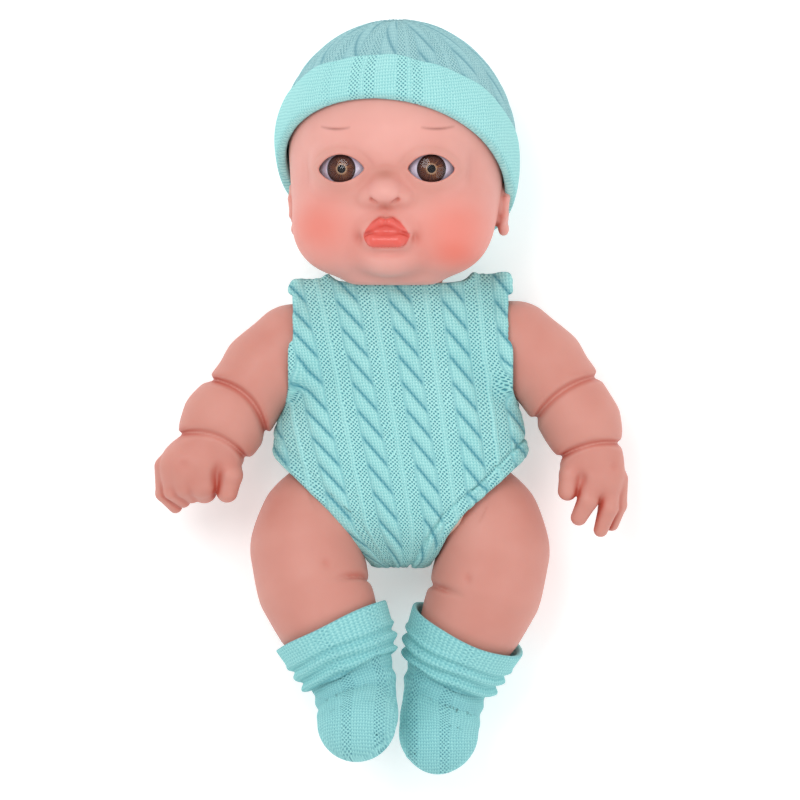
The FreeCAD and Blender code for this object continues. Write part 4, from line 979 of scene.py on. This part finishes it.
def hat_weave(p):
    turn = np.arctan2(p[:, 0], p[:, 2] - 46)
    return weave_of(turn * 44 * np.cos((p[:, 1] - 100) / 75), -p[:, 1] + p[:, 0] * 0.1)


def under_floor(p):
    """How far a point of the turned head lies under the floor."""
    return 0.1 - turned(p, PIVOT, (0, 1, 0), HEAD_YAW)[:, 2]


def build_hat():
    def cloth(p):
        turn = np.arctan2(p[:, 0], p[:, 2] - 46)
        pucker = 0.35 * np.sin(turn * 7 + 1.3) + 0.25 * np.sin(turn * 13 + 0.4)
        return skull(p), above_brim(p), pucker

    def crown(p):
        head, height, pucker = cloth(p)
        outer = head - 3.9 - pucker * bell(height, 20, 14)
        return overlap(0.9, overlap(1.5, outer, under_floor(p)), -(head - 1.4), 6 - height)

    def band(p):
        head, height, pucker = cloth(p)
        belly = 1.0 - ((height - 9.5) / 11.5) ** 2
        outer = head - 4.5 - 1.5 * np.clip(belly, 0, 1) - 0.5 * pucker
        return overlap(1.4, outer, under_floor(p), -(head - 1.1), -height, height - 19.0 - pucker)

    jobs = (("hat_crown", crown, (-53, 60, -1), (53, 153, 99)),
            ("hat_band", band, (-54, 46, -1), (54, 146, 102)))
    for label, field, low, high in jobs:
        points, faces, normals = even_mesh(field, low, high, HAT_STEP)
        weave = hat_weave(points)
        outer = np.clip((skull(points) - 2.6) / 0.6, 0, 1) * np.clip(-under_floor(points) / 3 - 0.2, 0, 1)
        lace = np.exp(-(((weave[:, 0] + 2) / 24) ** 4))
        # painted shade in the hat's furrows and folds
        hollow = np.clip(0.8 * hollow_of(field, points, normals, 2.5), 0, 1)
        if label == "hat_crown":
            points = points + (knit(points, normals, weave, 0.5) - points) * outer[:, None]
        piece = add_mesh(label + "_knit", turned(points, PIVOT, (0, 1, 0), HEAD_YAW), faces,
                         {"weave": weave, "hollow": hollow, "lace": lace}, material_of("knit_" + label[4:]))
        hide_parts(label)
        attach(piece, "head")


# ---------------------------------------------------------------- shared materials

MATERIALS = {}
KNITS = {  # screen colours of the lit, middle and shaded yarn, and the style
    "knit_romper": ((186, 238, 235), (140, 214, 212), (62, 138, 156), "cable"),
    "knit_crown": ((176, 218, 219), (136, 188, 194), (96, 150, 164), "cable"),
    "knit_band": ((188, 240, 237), (146, 218, 216), (66, 142, 160), "lace"),
    "knit_sock": ((166, 226, 224), (126, 194, 199), (62, 130, 150), "lace"),
    "knit_cuff": ((170, 228, 226), (130, 202, 204), (66, 140, 158), "lace"),
}


def material_of(name):
    """The limbs' vinyl or one of the knits, made once."""
    if name not in MATERIALS:
        if name in KNITS:
            *colours, style = KNITS[name]
            MATERIALS[name] = knit_material(name, *(linear(*colour) for colour in colours), style)
        else:
            # the second colour is painted shade for the limbs' furrows
            MATERIALS[name] = skin_material(name, linear(209, 144, 131), (0.74, 0.42, 0.36), VINYL_MASKS)
    return MATERIALS[name]


# ---------------------------------------------------------------- eyes


def iris_material(name, centre):
    """Brown iris with gold flecks running out from the pupil and a dark rim."""
    n = Nodes(name)
    place = n.add("VectorMath", {0: n.add("TexCoord").outputs["Object"], 1: tuple(c * MM for c in centre)},
                  operation="SUBTRACT")
    flat = n.add("VectorMath", {0: place, 1: (1, 1, 0)}, operation="MULTIPLY")
    reach = n.math("MULTIPLY", n.add("VectorMath", {0: flat}, operation="LENGTH").outputs["Value"], 1000)
    ray = n.add("VectorMath", {0: flat}, operation="NORMALIZE")
    ray = n.add("VectorMath", {0: ray, 1: place}, operation="ADD")
    streaks = n.add("TexNoise", {"Vector": ray, "Scale": 9.0, "Detail": 4.0, "Roughness": 0.75})
    fine = n.add("TexNoise", {"Vector": ray, "Scale": 24.0, "Detail": 3.0, "Roughness": 0.7})
    brown, dark = linear(104, 50, 32), linear(44, 16, 14)
    gold, pale = linear(214, 138, 78), linear(236, 200, 160)
    colour = n.mix(n.ramp(fine, 0.35, 0.7), dark, brown)
    near = n.ramp(reach, 1.6, 4.9, 1.0, 0.0)
    flecks = n.math("MULTIPLY", n.ramp(streaks, 0.50, 0.66), near, clamp=True)
    colour = n.mix(flecks, colour, gold)
    ring = n.math("MULTIPLY", n.ramp(reach, 1.7, 2.5, 0.9, 0.0), n.ramp(fine, 0.3, 0.6), clamp=True)
    colour = n.mix(ring, colour, pale)
    colour = n.mix(n.ramp(reach, 4.5, 5.3), colour, dark)
    return n.finish(colour, 0.4, streaks, 0.00005, Specular_IOR_Level=0.08)


def eyeball_material():
    """Glossy off-white with a faint lavender cast and a cloudy tint."""
    n = Nodes("eye_white_print")
    colour = n.mix(n.ramp(n.spots(240, 3), 0.35, 0.7), linear(232, 227, 240), linear(212, 204, 226))
    return n.finish(colour, 0.18, n.spots(1500, 2), 0.00001, Coat_Weight=0.8, Coat_Roughness=0.04)


def lens_material():
    """Clear polished acrylic: seen through, with reflections stronger at the rim."""
    n = Nodes("eye_lens_acrylic")
    clear = n.add("BsdfTransparent", {"Color": (0.985, 0.98, 0.99, 1)})
    rough = n.math("MULTIPLY_ADD", n.ramp(n.spots(300, 3), 0.3, 0.7), 0.03, 0.02)
    shine = n.add("BsdfGlossy", {"Color": (1, 1, 1, 1), "Roughness": rough})
    rim = n.math("MULTIPLY", n.add("Fresnel", {"IOR": 1.45}), 0.38)
    both = n.add("MixShader", {0: rim, 1: clear, 2: shine})
    n.tree.links.new(both.outputs[0], n.output.inputs[0])
    return n.material


def dress(material, *nodes):
    """Gives CAD nodes a material."""
    for node in nodes:
        mesh = frame["nodes"][node].data
        mesh.materials.clear()
        mesh.materials.append(material)


def dress_eyes():
    for name in EYE:
        low, high = box_mm(name + "_iris")
        dress(iris_material(name + "_iris_print", (low + high) / 2), name + "_iris")
    dress(eyeball_material(), "left_eye_white", "right_eye_white")
    dress(lens_material(), "left_eye_lens", "right_eye_lens")
    dress(moulded_material("pupil_gloss", (0.004, 0.003, 0.004), 0.2, 900, 0.00001, Specular_IOR_Level=0.1),
          "left_pupil", "right_pupil")


# ---------------------------------------------------------------- the inside


def brushed_material(name, colour, rough):
    """Bare or plated metal, faintly scratched along one direction."""
    n = Nodes(name)
    place = n.scaled((300, 5200, 5200))
    scratch = n.add("TexNoise", {"Vector": place, "Scale": 1.0, "Detail": 3.0, "Roughness": 0.6})
    stain = n.spots(150, 4, 0.6)
    base = n.mix(n.ramp(stain, 0.35, 0.75), colour, tuple(c * 0.72 for c in colour))
    gloss = n.math("MULTIPLY_ADD", scratch, 0.22, rough)
    return n.finish(base, gloss, scratch, 0.000012, Metallic=1.0)


def paper_material(name, colour):
    n = Nodes(name)
    fibres = n.spots(5200, 5, 0.75)
    base = n.mix(n.ramp(fibres, 0.3, 0.7), colour, tuple(c * 2.2 for c in colour))
    return n.finish(base, 0.85, fibres, 0.00006, Specular_IOR_Level=0.2)


def board_material():
    """Green solder mask with tinned tracks showing through it."""
    n = Nodes("board_mask")
    place = n.scaled((520, 520, 520))
    cells = n.add("TexVoronoi", {"Vector": place, "Scale": 1.0}, distance="MANHATTAN",
                  feature="DISTANCE_TO_EDGE")
    tracks = n.ramp(cells.outputs["Distance"], 0.10, 0.04)
    base = n.mix(n.ramp(n.spots(120, 3), 0.3, 0.7), (0.012, 0.12, 0.045), (0.02, 0.16, 0.06))
    base = n.mix(n.math("MULTIPLY", tracks, 0.6), base, (0.05, 0.28, 0.11))
    return n.finish(base, 0.32, tracks, 0.00003, Coat_Weight=0.4)


def dress_inside():
    dress(moulded_material("torso_moulding", linear(232, 196, 178), 0.5), "torso_front", "torso_back")
    dress(moulded_material("door_moulding", linear(228, 192, 174), 0.48), "battery_door")
    dress(moulded_material("spool_moulding", (0.62, 0.60, 0.56), 0.42), "neck_spool",
          "left_shoulder_spool", "right_shoulder_spool", "left_hip_spool", "right_hip_spool",
          "left_eye_retainer", "right_eye_retainer")
    dress(moulded_material("box_moulding", (0.018, 0.018, 0.02), 0.5, 2400), "battery_box")
    dress(moulded_material("switch_moulding", (0.012, 0.012, 0.013), 0.4, 2400), "tact_switch",
          "switch_housing", "switch_slider")
    dress(moulded_material("chip_epoxy", (0.008, 0.008, 0.008), 0.55, 3200), "sound_chip")
    dress(moulded_material("component_ceramic", (0.34, 0.24, 0.15), 0.35, 3000), "board_components")
    dress(moulded_material("button_moulding", linear(206, 60, 62), 0.28, 1500), "sound_button")
    dress(moulded_material("cell_sleeve", linear(92, 98, 106), 0.22, 1200, 0.00001, Coat_Weight=0.5),
          "battery_cells")
    dress(moulded_material("wire_sleeve", linear(176, 34, 30), 0.5, 2600), "battery_leads", "speaker_leads",
          "switch_leads")
    dress(brushed_material("zinc_steel", (0.56, 0.56, 0.54), 0.32), "torso_screws", "battery_door_screw",
          "board_screws", "speaker_frame")
    dress(brushed_material("nickel_spring", (0.66, 0.63, 0.58), 0.22), "battery_springs", "battery_contacts",
          "button_spring")
    dress(brushed_material("magnet_plating", (0.45, 0.45, 0.46), 0.28), "speaker_magnet")
    dress(brushed_material("copper_coil", (0.72, 0.33, 0.17), 0.30), "speaker_voice_coil")
    dress(paper_material("cone_paper", (0.020, 0.019, 0.018)), "speaker_cone")
    dress(board_material(), "circuit_board")


def build_fastener():
    """The hook-and-loop strip that closes the romper at the back, with a stitched border."""
    low, high = box_mm("romper_back_fastener")
    low, high = low - (AXIS_X, 0, 0), high - (AXIS_X, 0, 0)

    def field(p):
        strip = overlap(1.0, np.abs(p[:, 0] - (low[0] + high[0]) / 2) - (high[0] - low[0]) / 2 + 0.2,
                        np.abs(p[:, 1] - (low[1] + high[1]) / 2) - (high[1] - low[1]) / 2 + 0.2)
        level = romper_form(p)
        return overlap(0.4, strip, level + 0.25, -1.6 - level, p[:, 2] - 25)

    xs, ys, zs = (np.arange(a - 1, b + 1.3, 0.4) for a, b in zip(low, high))
    points, faces = surface(field, xs, ys, zs)
    edge = np.minimum((high[0] - low[0]) / 2 - np.abs(points[:, 0] - (low[0] + high[0]) / 2),
                      (high[1] - low[1]) / 2 - np.abs(points[:, 1] - (low[1] + high[1]) / 2))
    stitch = bell(edge, 1.5, 0.35)
    weave = weave_of(points[:, 0], points[:, 1])
    piece = add_mesh("romper_fastener_tape", points, faces, {"weave": weave, "hollow": 0.6 * stitch},
                     knit_material("fastener_tape", linear(206, 232, 228), linear(178, 214, 210),
                                   linear(120, 170, 172), "plain"))
    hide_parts("romper_back_fastener")
    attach(piece, "torso")


# ---------------------------------------------------------------- staging


SENSOR = 36  # millimetres
CAMERA_HEIGHT = 8.0
FOCUS_HEIGHT = 0.044  # where the picture is VIEW_WIDTH wide
VIEW_WIDTH = 0.320


def build_stage():
    bpy.ops.mesh.primitive_plane_add(size=6, location=(0, 0, -0.0002))
    floor = bpy.context.object
    floor.name = "floor"
    n = Nodes("pale_floor")
    floor.data.materials.append(n.finish(linear(252, 252, 252), 0.9, Emission_Color=(1, 1, 1, 1),
                                         Emission_Strength=0.25, Specular_IOR_Level=0.0))
    world = bpy.data.worlds.new("studio")
    world.use_nodes = True
    world.node_tree.nodes["Background"].inputs["Color"].default_value = (1.0, 1.0, 1.0, 1)
    world.node_tree.nodes["Background"].inputs["Strength"].default_value = 0.72
    bpy.context.scene.world = world
    lamps = (("key", (-0.5, 0.55, 1.5), 0.9, 9.0), ("fill", (0.9, -0.3, 1.2), 1.2, 4.5))
    for name, place, size, power in lamps:
        light = bpy.data.lights.new(name, "AREA")
        light.shape, light.size, light.energy = "DISK", size, power
        lamp = bpy.data.objects.new(name, light)
        lamp.location = place
        direction = -np.array(place)
        lamp.rotation_mode = "QUATERNION"
        lamp.rotation_quaternion = Vector(direction).to_track_quat("-Z", "Y")
        bpy.context.scene.collection.objects.link(lamp)
    camera = bpy.data.objects.new("camera", bpy.data.cameras.new("camera"))
    camera.data.sensor_width = SENSOR
    camera.data.lens = SENSOR * (CAMERA_HEIGHT - FOCUS_HEIGHT) / VIEW_WIDTH
    camera.data.clip_end = 20
    camera.location = ((AXIS_X - 0.2) * MM, -1.0 * MM, CAMERA_HEIGHT)
    bpy.context.scene.collection.objects.link(camera)
    bpy.context.scene.camera = camera
    bpy.context.scene.view_settings.view_transform = "Standard"


def main():
    build_stage()
    build_head()
    build_hat()
    build_arms()
    build_legs()
    build_romper()
    build_fastener()
    dress_eyes()
    dress_inside()


main()
